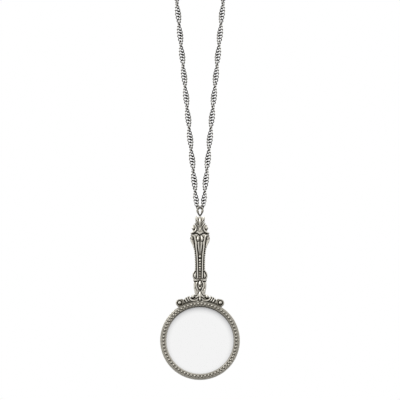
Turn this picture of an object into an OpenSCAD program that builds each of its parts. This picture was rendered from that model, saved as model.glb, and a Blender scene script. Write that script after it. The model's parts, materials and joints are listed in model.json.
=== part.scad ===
// Magnifier pendant on a long twisted chain.
// The necklace hangs as a whole loop: the origin is the nape, under the middle of the clasp,
// with +Z up and -Y towards the viewer. All sizes are in millimetres.

/* [Chain] */
// Length of the whole loop, from the bail ring's lowest point round to it again
necklace_l = 762; // [600:2:900]
// Diameter of the round envelope of the twisted chain
chain_d = 2.4; // [1.8:0.1:2.8]
// Slope of each hanging strand, in degrees from upright
strand_slope = 5.5; // [4:0.1:7]
// Sideways distance from the middle to the lower end of each strand
strand_x = 1.7; // [1.6:0.05:2]
// Mean radius of the round link at each end of a strand
link_r = 1.15; // [1.1:0.01:1.25]
// Wire radius of a link
link_wire_r = 0.2; // [0.16:0.01:0.22]

/* [Rings and clasp] */
// Mean radius of the bail ring's narrow lower bow
bail_low_r = 0.8; // [0.76:0.01:0.9]
// Mean radius of the bail ring's wide upper bow
bail_top_r = 1.5; // [1.4:0.05:1.7]
// Distance between the middles of the bail ring's two bows
bail_l = 2.4; // [2.2:0.1:3]
// Wire radius of the bail ring
bail_wire_r = 0.25; // [0.2:0.01:0.27]
// Mean radius of each ring at the clasp
clasp_ring_r = 1.6; // [1.5:0.05:1.8]
// Wire radius of the rings at the clasp
ring_wire_r = 0.32; // [0.26:0.01:0.36]
// Length of the clasp
clasp_l = 11; // [10:0.1:13]
// Width of the clasp over its hook
clasp_w = 5.4; // [5:0.1:6.5]
// Thickness of the clasp
clasp_t = 1.2; // [1:0.05:1.3]
// Radius of the hole in the clasp's eye
clasp_eye_r = 1; // [0.95:0.01:1.2]
// Width of the metal round the clasp's hollow and eye
clasp_wall = 0.95; // [0.8:0.05:1.1]

/* [Lens and rim] */
// Radius of the lens
lens_r = 19.8; // [16:0.1:24]
// Thickness of the lens at its edge
lens_edge_t = 1.5; // [1.2:0.1:1.6]
// Height of each convex face of the lens over its edge
lens_rise = 1.5; // [1:0.1:2]
// Width of the lens's edge that the rim's lip and the beaded ring cover
lens_cover = 1.1; // [0.8:0.05:1.6]
// Thickness of the rim's wall round the lens
rim_wall = 1.25; // [1:0.05:1.5]
// Depth of the rim from its back to its front edge
rim_d = 4.6; // [4.4:0.1:5.2]
// Radial width of the rim's outer band, with a ridge along each edge
band_w = 1.05; // [0.9:0.05:1.3]
// Depth of the groove between the band's two ridges
groove_d = 0.3; // [0.1:0.05:0.4]
// Thickness of the back lip that carries the lens
lip_t = 0.9; // [0.7:0.05:1.1]
// Thickness of the beaded ring that keeps the lens in
bezel_t = 1.3; // [0.9:0.05:1.5]
// Widening of that ring's inner face from the lens to its front
bezel_flare = 0.6; // [0:0.05:0.7]
// Radius of one bead on that ring
bead_r = 0.74; // [0.6:0.01:0.8]
// Number of beads round that ring
bead_n = 66; // [50:1:72]

/* [Handle] */
// Length of the handle, from the bail ring's lowest wire to the rim's outer edge
handle_l = 48.7; // [44:0.1:56]
// Width of the handle over its upper scrolls
handle_w = 11.2; // [10:0.1:13]
// Thickness of the handle's plain plate
plate_t = 2.6; // [2:0.1:3]
// Depth of the plate's back behind the middle of the rim
plate_back = 1.6; // [1.2:0.1:2]
// Height of the raised borders over the plate
relief_t = 0.8; // [0.5:0.05:1]
// Width of a raised border
border_w = 0.7; // [0.5:0.05:0.9]
// Radius of the large scroll balls
ball_r = 0.95; // [0.8:0.05:1.1]
// Wire radius of the scrolls
scroll_r = 0.4; // [0.3:0.02:0.46]
// Radius of the hole in the eye at the top
eye_r = 0.75; // [0.7:0.01:0.9]
// Wire radius of the eye
eye_wire_r = 0.34; // [0.3:0.01:0.36]

/* [Crest] */
// Width of the crest over its two rosettes
crest_w = 27.2; // [25:0.1:29]
// Height of the crest over the rim at its middle
crest_h = 2.4; // [2:0.1:3]
// Step of the crest's face down from the rim's front edge
crest_step = 0.2; // [0:0.05:0.6]
// Outer radius of a rosette
rosette_r = 2.15; // [1.8:0.05:2.4]

/* [Hidden] */
$fn = 40;

// Clearances
slide_gap = 0.08;
lens_gap = 0.1;
tube_gap = 0.15;
link_slack = 0.25;
// Height of the solder over the wire where two wires meet
solder = 0.01;

// Rim, lens and bezel sizes that follow from the driving ones
face_z = plate_t - plate_back;
wall_r = lens_r + lens_gap;
seat_r = wall_r + rim_wall;
rim_r = seat_r + band_w;
opening_r = lens_r - lens_cover;
ridge_r = band_w / 2;
crest_z = rim_d / 2 - crest_step;
lens_face_r = (pow(lens_r, 2) + pow(lens_rise, 2)) / (2 * lens_rise);
lens_face_z = lens_edge_t / 2 + lens_rise - lens_face_r;
seat_z = lens_face_z + sqrt(pow(lens_face_r, 2) - pow(opening_r, 2)) + slide_gap;
bezel_z = seat_z + bezel_t;
bead_row_r = seat_r - 2 * slide_gap - bead_r;
rim_y = -handle_l - rim_r;
half_w = handle_w / 2;
eye_y = -(eye_r - bail_wire_r - slide_gap);

// The links on the bail ring: where each sits on its upper bow, how it leans and how it is turned
link_seat = 40;
link_lean = 22;
link_turn = 40;
bail_z = bail_low_r + bail_l;
link_out = link_r - bail_wire_r - link_wire_r - link_slack;
link_x = bail_top_r * sin(link_seat) + link_out * sin(link_lean);
link_z = bail_z + bail_top_r * cos(link_seat) + link_out * cos(link_lean);
lead_z = link_z + link_r * cos(link_lean) + link_wire_r + tube_gap;

// The loop: each strand runs straight up and then round the nape's arc to the clasp
lead_l = norm([strand_x, lead_z]);
arc_turn = 90 + strand_slope;
arc_k = arc_turn * PI / 180;
arc_rise = (necklace_l / 2 - lead_l + strand_x * (sin(strand_slope) - arc_k * cos(strand_slope)))
    / (cos(strand_slope) + arc_k * sin(strand_slope));
arc_r = strand_x * cos(strand_slope) + arc_rise * sin(strand_slope);
arc_z = clasp_t / 2 - arc_r;
strand_z = arc_z - arc_rise;
strand_l = arc_rise * cos(strand_slope) - strand_x * sin(strand_slope);
pivot_z = strand_z - lead_z;

// Places of the clasp's rings and links, measured from the nape
ring_bow = clasp_ring_r - sqrt(pow(clasp_ring_r, 2) - pow(clasp_t / 2, 2));
ring_x = clasp_l / 2 - clasp_wall - ring_bow - ring_wire_r - 2 * slide_gap + clasp_ring_r;
end_link_out = clasp_ring_r - ring_wire_r - link_wire_r - slide_gap + link_r;
tube_end_l = ring_x + end_link_out + link_r + link_wire_r + tube_gap;
tube_end_turn = tube_end_l / arc_r * 180 / PI;

// Rings along a strand's straight run and arc, and sides of its tube
straight_rings = 30;
arc_rings = 9;
tube_sides = 8;
pod_steps = 24;

// Columns of the tables below: a share of the handle's length, of its half width, of the balls
DOWN = 0;
ACROSS = 1;
SIZE = 2;
// Outline of the handle's plate, from the eye down to the rim
plate_outline = [
    [0.034, 0.16], [0.045, 0.34], [0.080, 0.36], [0.105, 0.47], [0.122, 0.43], [0.142, 0.80],
    [0.176, 0.70], [0.200, 0.82], [0.220, 0.96], [0.250, 0.99], [0.300, 0.97], [0.328, 0.80],
    [0.360, 0.71], [0.420, 0.63], [0.500, 0.57], [0.600, 0.54], [0.655, 0.55], [0.690, 0.66],
    [0.725, 0.69], [0.762, 0.64], [0.776, 0.56], [0.810, 0.61], [0.870, 0.59], [0.905, 0.54],
    [0.935, 0.62], [0.990, 0.80],
];
// Inner border of the shaft
shaft_border = [
    [0.225, 0.50], [0.290, 0.48], [0.350, 0.41], [0.440, 0.30],
    [0.545, 0.24], [0.640, 0.24], [0.715, 0.25], [0.752, 0.52],
];
// Balls on the middle line of the shaft
middle_balls = [
    [0.474, 0, 0.74], [0.520, 0, 0.60], [0.550, 0, 0.54], [0.579, 0, 0.54], [0.608, 0, 0.52],
    [0.633, 0, 0.44], [0.842, 0, 0.80],
];
// Balls on each side: the scrolls' eyes, and the lobes beside the lower drop
side_balls = [
    [0.144, 0.66, 1], [0.943, 0.73, 1], [0.795, 0.50, 0.78], [0.832, 0.51, 0.74], [0.870, 0.49, 0.70],
];
// Drops and leaves: round tip, pointed root and radius
TIP = 0;
ROOT = 1;
FAT = 2;
middle_leaves = [
    [[0.022, 0], [0.140, 0], 0.86],
    [[0.812, 0], [0.748, 0], 0.90],
];
side_leaves = [
    [[0.020, 0.38], [0.116, 0.08], 0.76],
    [[0.088, 0.46], [0.140, 0.10], 0.46],
    [[0.132, 0.36], [0.186, 0.06], 0.40],
    [[0.240, 0.23], [0.380, 0.07], 0.90],
];
// Rope edge of the shaft: first and last bead, bead count and bead radius
rope_from = 0.365;
rope_to = 0.650;
rope_n = 12;
rope_r = 0.42;
// Heights of the brow and the collar on the handle
brow_top = 0.190;
brow_dip = 0.232;
collar_down = 0.770;
// Leaf tips on the crest, in degrees from the middle of the rim
crest_tips = [15, 19];

function place(p) = [p[ACROSS] * half_w, -p[DOWN] * handle_l];
function mix(a, b, t) = a + (b - a) * t;
function spline(p, i, t) =
    let (a = p[max(i - 1, 0)], b = p[i], c = p[i + 1], d = p[min(i + 2, len(p) - 1)])
    0.5 * (2 * b + (c - a) * t + (2 * a - 5 * b + 4 * c - d) * t * t
        + (3 * b - a - 3 * c + d) * t * t * t);
function smooth(p, steps) = concat(
    [for (i = [0 : len(p) - 2], s = [0 : steps - 1]) spline(p, i, s / steps)],
    [p[len(p) - 1]]
);
function reversed(p) = [for (i = [len(p) - 1 : -1 : 0]) p[i]];
// A point beside a line's point, half a width to its left
function beside(p, i, w) =
    let (d = p[min(i + 1, len(p) - 1)] - p[max(i - 1, 0)])
    p[i] + [-d[1], d[0]] / norm(d) * w / 2;
// Half width of the plate at a share of the handle's length
function width_at(share) = half_w * lookup(share, plate_outline);

// A strand's centre line, each ring with its place and its direction
function arc_point(turn) = [arc_r * sin(turn), 0, arc_z + arc_r * cos(turn)];
strand_dir = [sin(strand_slope), 0, cos(strand_slope)];
strand_route = concat(
    [for (i = [0 : straight_rings - 1])
        [[strand_x, 0, strand_z] + strand_dir * strand_l * i / straight_rings, strand_dir]],
    [for (i = [0 : arc_rings])
        let (turn = mix(arc_turn, tube_end_turn, i / arc_rings))
        [arc_point(turn), [-cos(turn), 0, sin(turn)]]]
);
function tube_ring(p, d) = [for (k = [0 : tube_sides - 1])
    let (a = 360 * k / tube_sides)
    p + chain_d / 2 * (cos(a) * [0, 1, 0] + sin(a) * [d[2], 0, -d[0]])];

module both() {
    children();
    mirror([1, 0, 0]) children();
}

// The pendant's own axes: x across, y up from the bail ring's lowest wire, z out of the front
module hung() {
    translate([0, 0, pivot_z]) rotate([90, 0, 0]) children();
}

module wire_ring(mean_r, wire_r) {
    rotate_extrude() translate([mean_r, 0]) circle(wire_r);
}

module wire_arc(mean_r, wire_r, from, turn) {
    rotate([0, 0, from]) rotate_extrude(angle = turn) translate([mean_r, 0]) circle(wire_r);
}

// A drop turned about its own line, round at the tip and pointed at the root
module leaf(l) {
    a = place(l[TIP]);
    b = place(l[ROOT]);
    r = l[FAT] * ball_r;
    long = norm(b - a);
    translate([a[0], a[1], face_z]) rotate([0, 0, atan2(b[1] - a[1], b[0] - a[0])])
        rotate([0, 90, 0]) rotate_extrude() intersection() {
            union() {
                translate([0, r]) circle(r);
                polygon([[0, r / 2], [r * 0.95, r * 1.3], [r * 0.5, mix(r, long, 0.6)], [0, long]]);
            }
            square([r, long]);
        }
}

module ball(b) {
    translate([b[ACROSS] * half_w, -b[DOWN] * handle_l, face_z]) sphere(b[SIZE] * ball_r);
}

module plate() {
    right = [for (p = plate_outline) place(p)];
    translate([0, 0, -plate_back]) linear_extrude(plate_t)
        polygon(concat(right, [for (p = reversed(right)) [-p[0], p[1]]]));
}

module eye() {
    translate([0, eye_y, 0]) rotate([0, 90, 0]) wire_ring(eye_r + eye_wire_r, eye_wire_r);
}

// The C scroll round each upper ball, down to the cornice
module finial_scroll() {
    translate([half_w * 0.70, -0.163 * handle_l, face_z])
        wire_arc(ball_r * 2.3, scroll_r, 115, 155);
}

module ear() {
    translate([half_w - ball_r - scroll_r, -0.277 * handle_l, face_z]) {
        wire_ring(ball_r, scroll_r);
        sphere(ball_r * 0.62);
    }
}

module side_loop() {
    translate([half_w * 0.5, -0.702 * handle_l, face_z]) {
        wire_ring(ball_r * 0.95, scroll_r * 0.8);
        sphere(ball_r * 0.6);
    }
}

module raised() {
    translate([0, 0, -plate_back / 2]) linear_extrude(plate_back / 2 + face_z + relief_t) children();
}

module brow() {
    top = -brow_top * handle_l;
    dip = -brow_dip * handle_l;
    shoulder = mix(top, dip, 0.6);
    raised() polygon([
        [-half_w * 0.40, top], [half_w * 0.40, top], [half_w * 0.16, shoulder],
        [0, dip], [-half_w * 0.16, shoulder],
    ]);
}

module collar() {
    raised() translate([0, -collar_down * handle_l])
        square([half_w * 1.3, border_w * 1.1], center = true);
}

module shaft_edges() {
    line = smooth([for (p = shaft_border) place(p)], 3);
    last = len(line) - 1;
    raised() polygon(concat(
        [for (i = [0 : last]) beside(line, i, border_w)],
        reversed([for (i = [0 : last]) beside(line, i, -border_w)])
    ));
    for (i = [0 : rope_n - 1])
        let (share = mix(rope_from, rope_to, i / (rope_n - 1)))
            translate([width_at(share) - rope_r * 0.75, -share * handle_l, face_z]) sphere(rope_r);
}

module crest_scroll() {
    translate([half_w * 0.73, -0.943 * handle_l, crest_z])
        wire_arc(ball_r * 1.95, scroll_r, 175, 195);
    for (turn = crest_tips)
        translate([0, rim_y, crest_z]) rotate([0, 0, -turn])
            translate([0, rim_r + crest_h * 0.75, 0]) sphere(ball_r * 0.72);
}

module rosette_place() {
    out = rim_r + rosette_r * 0.75;
    translate([0, rim_y, 0]) rotate([0, 0, -asin((crest_w / 2 - rosette_r) / out)])
        translate([0, out, 0]) children();
}

module rosette() {
    rosette_place() {
        translate([0, 0, -plate_back]) cylinder(r = rosette_r - scroll_r / 2, h = plate_back + crest_z);
        translate([0, 0, crest_z]) {
            wire_ring(rosette_r - scroll_r, scroll_r);
            sphere(ball_r * 1.15);
        }
    }
}

// The arched band of the crest, between the rosettes
module crest_band() {
    reach = rim_r + crest_h;
    half = crest_w / 2 - rosette_r;
    translate([0, rim_y, -plate_back]) linear_extrude(plate_back + crest_z) intersection() {
        difference() {
            circle(reach, $fn = 96);
            circle(seat_r + ridge_r, $fn = 96);
        }
        translate([-half, 0]) square([2 * half, 2 * reach]);
    }
}

// The rim turned round: the outer band, the seat's wall and the lip behind the lens
module rim() {
    translate([0, rim_y, 0]) rotate_extrude($fn = 120) {
        ridge_z = rim_d / 2 - ridge_r;
        translate([seat_r, -ridge_z]) square([band_w - groove_d, 2 * ridge_z]);
        for (side = [-1, 1])
            translate([seat_r + ridge_r, side * ridge_z]) circle(ridge_r);
        translate([wall_r, -seat_z - lip_t]) square([seat_r - wall_r, 2 * seat_z + lip_t]);
        translate([opening_r, -seat_z - lip_t]) square([wall_r - opening_r, lip_t]);
    }
}

module magnifier_frame() {
    color("#8f8c84") hung() {
        plate();
        eye();
        both() {
            finial_scroll();
            ear();
            side_loop();
            shaft_edges();
            crest_scroll();
            rosette();
            for (l = side_leaves) leaf(l);
            for (b = side_balls) ball(b);
        }
        for (l = middle_leaves) leaf(l);
        for (b = middle_balls) ball(b);
        brow();
        collar();
        crest_band();
        rim();
    }
}

module lens() {
    apex = lens_edge_t / 2 + lens_rise;
    color("#e8eef0", 0.4) hung() translate([0, rim_y, 0]) intersection() {
        cylinder(r = lens_r, h = 3 * apex, center = true, $fn = 120);
        translate([0, 0, lens_face_z]) sphere(lens_face_r, $fn = 360);
        translate([0, 0, -lens_face_z]) sphere(lens_face_r, $fn = 360);
    }
}

module bezel_ring() {
    color("#a3a098") hung() translate([0, rim_y, 0]) {
        rotate_extrude($fn = 120) polygon([
            [opening_r, seat_z + slide_gap], [seat_r - slide_gap, seat_z + slide_gap],
            [seat_r - slide_gap, bezel_z], [opening_r + bezel_flare, bezel_z],
        ]);
        for (i = [0 : bead_n - 1])
            rotate([0, 0, 360 * (i + 0.5) / bead_n])
                translate([bead_row_r, 0, bezel_z]) sphere(bead_r, $fn = 20);
    }
}

// A narrow ring with a small bow below, a larger one above and two straight legs
module bail_ring() {
    lean = asin((bail_top_r - bail_low_r) / bail_l);
    leg = bail_l * cos(lean);
    color("#a3a098") hung() {
        translate([0, bail_low_r, 0]) wire_arc(bail_low_r, bail_wire_r, 180 + lean, 180 - 2 * lean);
        translate([0, bail_z, 0]) wire_arc(bail_top_r, bail_wire_r, -lean, 180 + 2 * lean);
        both() translate([0, bail_low_r, 0]) rotate([0, 0, -lean])
            translate([bail_low_r, 0, 0]) rotate([-90, 0, 0]) {
                cylinder(r = bail_wire_r, h = leg);
                for (joint = [0, leg]) translate([0, 0, joint]) sphere(bail_wire_r + solder);
            }
    }
}

module link() {
    wire_ring(link_r, link_wire_r);
}

// The right-hand strand: its end links and the round envelope of its twisted links
module strand() {
    n = len(strand_route) - 1;
    tube_end = arc_point(tube_end_turn);
    drop = atan2(clasp_t / 2 - tube_end[2], tube_end[0] - ring_x);
    translate([link_x, 0, pivot_z + link_z]) rotate([0, link_lean, 0])
        rotate([0, 0, -link_turn]) rotate([0, 90, 0]) link();
    translate([ring_x, 0, clasp_t / 2]) rotate([0, drop, 0])
        translate([end_link_out, 0, 0]) link();
    polyhedron(
        points = [for (s = strand_route, p = tube_ring(s[0], s[1])) p],
        faces = concat(
            [[for (k = [tube_sides - 1 : -1 : 0]) k]],
            [[for (k = [0 : tube_sides - 1]) n * tube_sides + k]],
            [for (i = [0 : n - 1], k = [0 : tube_sides - 1])
                let (a = i * tube_sides + k, b = i * tube_sides + (k + 1) % tube_sides)
                [a, b, b + tube_sides, a + tube_sides]]
        )
    );
}

module chain_right() {
    color("#8a8780") strand();
}

module chain_left() {
    color("#8a8780") mirror([1, 0, 0]) strand();
}

function arc_points(x, r, from, to) =
    [for (i = [0 : pod_steps]) let (a = mix(from, to, i / pod_steps)) [x + r * cos(a), r * sin(a)]];

// Outline round two circles on the X axis, with the straight sides between them
module pod(x1, r1, x2, r2) {
    a = 180 - acos((r2 - r1) / (x2 - x1));
    polygon(concat(arc_points(x2, r2, -a, a), arc_points(x1, r1, a, 360 - a)));
}

module clasp() {
    hook_r = clasp_w / 2;
    hook_x = clasp_l / 2 - hook_r;
    eye_out = clasp_eye_r + clasp_wall;
    eye_x = -clasp_l / 2 + eye_out;
    tail_r = clasp_eye_r * 0.9;
    tail_x = eye_x + 2 * eye_out + tail_r - clasp_wall;
    color("#a3a098") linear_extrude(clasp_t) difference() {
        pod(eye_x, eye_out, hook_x, hook_r);
        translate([eye_x, 0]) circle(clasp_eye_r);
        pod(tail_x, tail_r, hook_x, hook_r - clasp_wall);
    }
}

module clasp_ring(side) {
    color("#a3a098") translate([side * ring_x, 0, clasp_t / 2]) rotate([90, 0, 0])
        wire_ring(clasp_ring_r, ring_wire_r);
}

module clasp_ring_left() {
    clasp_ring(-1);
}

module clasp_ring_right() {
    clasp_ring(1);
}

magnifier_frame();
lens();
bezel_ring();
bail_ring();
chain_left();
chain_right();
clasp();
clasp_ring_left();
clasp_ring_right();
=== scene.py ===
"""Looks of the magnifier pendant: cast handle, beaded rim, lens, twisted chain, bail and clasp.

Sizes are in millimetres on the bench: x across, z up from the bail ring's lowest wire, and
-y out of the pendant's front. The strands and the clasp have the part's own zero, at the nape.
The last step of each piece scales it to metres in its place.
"""

import json
import logging
import math
from dataclasses import dataclass
from enum import Enum

import bpy
import numpy as np
from mathutils import Matrix, Vector


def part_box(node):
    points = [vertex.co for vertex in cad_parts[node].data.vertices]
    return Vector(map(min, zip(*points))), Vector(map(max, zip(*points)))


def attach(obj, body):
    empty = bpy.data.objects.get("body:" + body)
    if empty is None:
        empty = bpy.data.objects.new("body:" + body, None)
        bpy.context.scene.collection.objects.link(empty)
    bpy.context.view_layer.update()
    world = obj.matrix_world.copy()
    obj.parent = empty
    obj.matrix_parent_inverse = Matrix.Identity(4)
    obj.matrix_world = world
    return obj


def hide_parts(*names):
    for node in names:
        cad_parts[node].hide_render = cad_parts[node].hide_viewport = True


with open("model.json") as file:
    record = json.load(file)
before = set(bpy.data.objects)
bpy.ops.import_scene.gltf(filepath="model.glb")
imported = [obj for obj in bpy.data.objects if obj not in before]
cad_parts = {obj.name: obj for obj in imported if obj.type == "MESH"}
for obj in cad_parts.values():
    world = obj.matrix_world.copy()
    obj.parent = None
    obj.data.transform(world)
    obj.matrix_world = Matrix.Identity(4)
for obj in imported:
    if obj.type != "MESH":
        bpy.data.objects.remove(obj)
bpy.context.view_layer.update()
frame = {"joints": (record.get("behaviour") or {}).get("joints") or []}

LOG = logging.getLogger("pendant")
Pairs = tuple[tuple[float, float], ...]
Spot = tuple[float, float, float]
Run = list[tuple[Vector, float]]

MM = 0.001
FULL_TURN = 2 * math.pi
QUARTER_TURN = math.pi / 2
CAMERA_TILT = math.radians(-11)
# Height in the part of the bail ring's lowest wire, which is the bench's zero
PIVOT_Z = frame["joints"][0]["pos_m"][2] / MM
# The lens's axis on the bench, and sizes that the rings round it share
LENS_Z = -70.9
RIM_RADIUS = 22.2
OPENING_RADIUS = 18.7
BEAD_COUNT = 66
# Where the clasp's two jump rings lie across
CLASP_RING_X = 5.553


class Body(Enum):
    """The two bodies of the frame."""

    NECKLACE = "necklace"
    MAGNIFIER = "magnifier"


class Slot(Enum):
    """Material slots of the record."""

    CAST = "cast_silver"
    WIRE = "wire_silver"
    GLASS = "lens_glass"


# Bench helpers


def deselect() -> None:
    """Leaves nothing selected, so that an operator acts on the new object alone."""
    bpy.ops.object.select_all(action="DESELECT")


def choose(*objects: bpy.types.Object) -> bpy.types.Object:
    """Selects the objects and makes the first one active.

    Args:
        objects: the objects to work on.

    Returns:
        The active object.
    """
    deselect()
    for item in objects:
        item.select_set(True)
    bpy.context.view_layer.objects.active = objects[0]
    return objects[0]


def join(objects: list[bpy.types.Object], name: str) -> bpy.types.Object:
    """Joins mesh objects into one.

    Args:
        objects: the objects, which are used up.
        name: the name of the joined object.

    Returns:
        The joined object.
    """
    joined = choose(*objects)
    if len(objects) > 1:
        bpy.ops.object.join()
    joined.name = name
    joined.data.name = name
    return joined


def applied() -> bpy.types.Object:
    """Applies the transform of the active object, which it returns."""
    bpy.ops.object.transform_apply(location=True, rotation=True, scale=True)
    return bpy.context.view_layer.objects.active


def to_mesh(thing: bpy.types.Object) -> bpy.types.Object:
    """Turns a curve object into a mesh object with its transform applied.

    Args:
        thing: the curve object, which is used up.

    Returns:
        The mesh object.
    """
    choose(thing)
    bpy.ops.object.convert(target="MESH")
    return applied()


def modify(thing: bpy.types.Object, kind: str, **settings: object) -> None:
    """Adds one modifier and applies it.

    Args:
        thing: the mesh object.
        kind: the modifier's type.
        settings: the modifier's own values.
    """
    choose(thing)
    made = thing.modifiers.new(kind.title(), kind)
    for key, value in settings.items():
        setattr(made, key, value)
    bpy.ops.object.modifier_apply(modifier=made.name)


def outwards(thing: bpy.types.Object) -> None:
    """Merges doubles and turns all faces outwards.

    Args:
        thing: the mesh object, in bench millimetres.
    """
    choose(thing)
    bpy.ops.object.mode_set(mode="EDIT")
    bpy.ops.mesh.select_all(action="SELECT")
    bpy.ops.mesh.remove_doubles(threshold=0.001)
    bpy.ops.mesh.normals_make_consistent(inside=False)
    bpy.ops.object.mode_set(mode="OBJECT")


def settle(thing: bpy.types.Object, up: float) -> None:
    """Scales a bench piece to metres and sets it in its place, with its transform applied.

    Args:
        thing: the piece in bench millimetres.
        up: the height of the bench's zero in the part, in millimetres.
    """
    choose(thing)
    thing.scale = (MM, MM, MM)
    thing.location = (0, 0, up * MM)
    applied()


def ball(x: float, y: float, z: float, radius: float, sides: int = 20) -> bpy.types.Object:
    """Adds a round ball.

    Args:
        x: place across.
        y: place in depth.
        z: height.
        radius: the ball's radius.
        sides: segments round it.

    Returns:
        The ball's object.
    """
    deselect()
    bpy.ops.mesh.primitive_uv_sphere_add(
        segments=sides, ring_count=sides // 2, radius=radius, location=(x, y, z)
    )
    return applied()


def hoop(
    radius: float, wire: float, sides: tuple[int, int], place: Spot = (0, 0, 0),
    turn: Spot = (0, 0, 0),
) -> bpy.types.Object:
    """Adds a closed ring of round wire.

    Args:
        radius: from the ring's middle to the middle of its wire.
        wire: the wire's radius.
        sides: segments round the ring and round its wire.
        place: the ring's middle.
        turn: how it is turned from lying flat.

    Returns:
        The ring's object.
    """
    deselect()
    bpy.ops.mesh.primitive_torus_add(
        major_radius=radius, minor_radius=wire, major_segments=sides[0],
        minor_segments=sides[1], location=place, rotation=turn,
    )
    return applied()


def copied(thing: bpy.types.Object, place: Matrix) -> bpy.types.Object:
    """Copies a piece with a mesh of its own and moves the copy.

    Args:
        thing: the piece.
        place: the copy's move.

    Returns:
        The copy.
    """
    made = thing.copy()
    made.data = thing.data.copy()
    made.data.transform(place)
    bpy.context.collection.objects.link(made)
    return made


def empty_curve(dimensions: str, bevel: float, rounds: int) -> bpy.types.Object:
    """Adds a curve object that has no points yet.

    Args:
        dimensions: 2D for a flat plate, 3D for wires.
        bevel: the radius of its rounding.
        rounds: the fineness of the rounding.

    Returns:
        The curve object.
    """
    deselect()
    bpy.ops.curve.primitive_bezier_curve_add(location=(0, 0, 0))
    made = bpy.context.view_layer.objects.active
    made.data.splines.clear()
    made.data.dimensions = dimensions
    made.data.bevel_depth = bevel
    made.data.bevel_resolution = rounds
    return made


def wires(
    runs: list[Run], closed: bool = False, sides: int = 3, steps: int = 5
) -> bpy.types.Object:
    """Draws round wires whose thickness may change along them, as one mesh.

    Args:
        runs: for each wire its points, each with the wire's radius there.
        closed: whether each wire runs back to its start.
        sides: bevel resolution of the wire.
        steps: steps between two points.

    Returns:
        The mesh object.
    """
    made = empty_curve("3D", 1, sides)
    curve = made.data
    curve.resolution_u = steps
    curve.use_fill_caps = True
    for run in runs:
        spline = curve.splines.new("BEZIER")
        spline.bezier_points.add(len(run) - 1)
        spline.use_cyclic_u = closed
        spline.radius_interpolation = "CARDINAL"
        for point, (place, radius) in zip(spline.bezier_points, run):
            point.co = place
            point.radius = radius
            point.handle_left_type = "AUTO"
            point.handle_right_type = "AUTO"
    return to_mesh(made)


def slab(outline: list[tuple[float, float]], back: float, front: float) -> bpy.types.Object:
    """Cuts a flat plate from its outline.

    Args:
        outline: the corners, x and z.
        back: depth of the back face, on y.
        front: depth of the front face, on y.

    Returns:
        The plate's mesh object.
    """
    deselect()
    bpy.ops.mesh.primitive_circle_add(vertices=len(outline), fill_type="NGON")
    made = bpy.context.view_layer.objects.active
    for corner, (x, z) in zip(made.data.vertices, outline):
        corner.co = (x, back, z)
    bpy.ops.object.mode_set(mode="EDIT")
    bpy.ops.mesh.select_all(action="SELECT")
    bpy.ops.mesh.extrude_region_move(TRANSFORM_OT_translate={"value": (0, front - back, 0)})
    bpy.ops.object.mode_set(mode="OBJECT")
    outwards(made)
    return made


def lathe(profile: Pairs, steps: int, centre_z: float) -> bpy.types.Object:
    """Turns a closed profile round the lens's axis.

    Args:
        profile: the corners, radius and height out of the front.
        steps: steps round the axis.
        centre_z: height of the axis.

    Returns:
        The ring's mesh object.
    """
    deselect()
    bpy.ops.mesh.primitive_circle_add(vertices=len(profile), fill_type="NOTHING")
    made = bpy.context.view_layer.objects.active
    for corner, (radius, out) in zip(made.data.vertices, profile):
        corner.co = (radius, -out, 0)
    modify(made, "SCREW", axis="Y", steps=steps, render_steps=steps, use_merge_vertices=True)
    outwards(made)
    made.location = (0, 0, centre_z)
    return applied()


def arc(x: float, z: float, radius: float, start: float, turn: float, steps: int) -> list[Vector]:
    """Points along an arc in the XZ plane.

    Args:
        x: the centre across.
        z: the centre's height.
        radius: the arc's radius.
        start: the first point's angle in degrees, from +x towards +z.
        turn: the arc's angle in degrees.
        steps: steps along it.

    Returns:
        The points, ends included.
    """
    angles = [math.radians(start + turn * i / steps) for i in range(steps + 1)]
    return [Vector((x + radius * math.cos(a), 0, z + radius * math.sin(a))) for a in angles]


# Finishes


def linear(code: str) -> tuple[float, float, float, float]:
    """Turns an sRGB hex colour to linear values.

    Args:
        code: six hex digits after a #.

    Returns:
        Red, green, blue and one for alpha.
    """
    parts = [int(code[i : i + 2], 16) / 255 for i in (1, 3, 5)]
    lit = [p / 12.92 if p <= 0.04045 else ((p + 0.055) / 1.055) ** 2.4 for p in parts]
    return (*lit, 1.0)


def add_node(
    tree: bpy.types.NodeTree, kind: str, settings: dict | None = None, inputs: dict | None = None
) -> bpy.types.Node:
    """Adds a node with its settings, values and links.

    Args:
        tree: the node tree.
        kind: the node's type.
        settings: the node's own values.
        inputs: for each input socket a value, or the output socket that feeds it.

    Returns:
        The node.
    """
    made = tree.nodes.new(kind)
    for key, value in (settings or {}).items():
        setattr(made, key, value)
    for key, value in (inputs or {}).items():
        if isinstance(value, bpy.types.NodeSocket):
            tree.links.new(value, made.inputs[key])
        else:
            made.inputs[key].default_value = value
    return made


def new_material(name: str) -> tuple[bpy.types.Material, bpy.types.NodeTree]:
    """Makes an empty node material.

    Args:
        name: the material's name.

    Returns:
        The material and its node tree.
    """
    made = bpy.data.materials.new(name)
    made.use_nodes = True
    made.node_tree.nodes.clear()
    return made, made.node_tree


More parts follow.
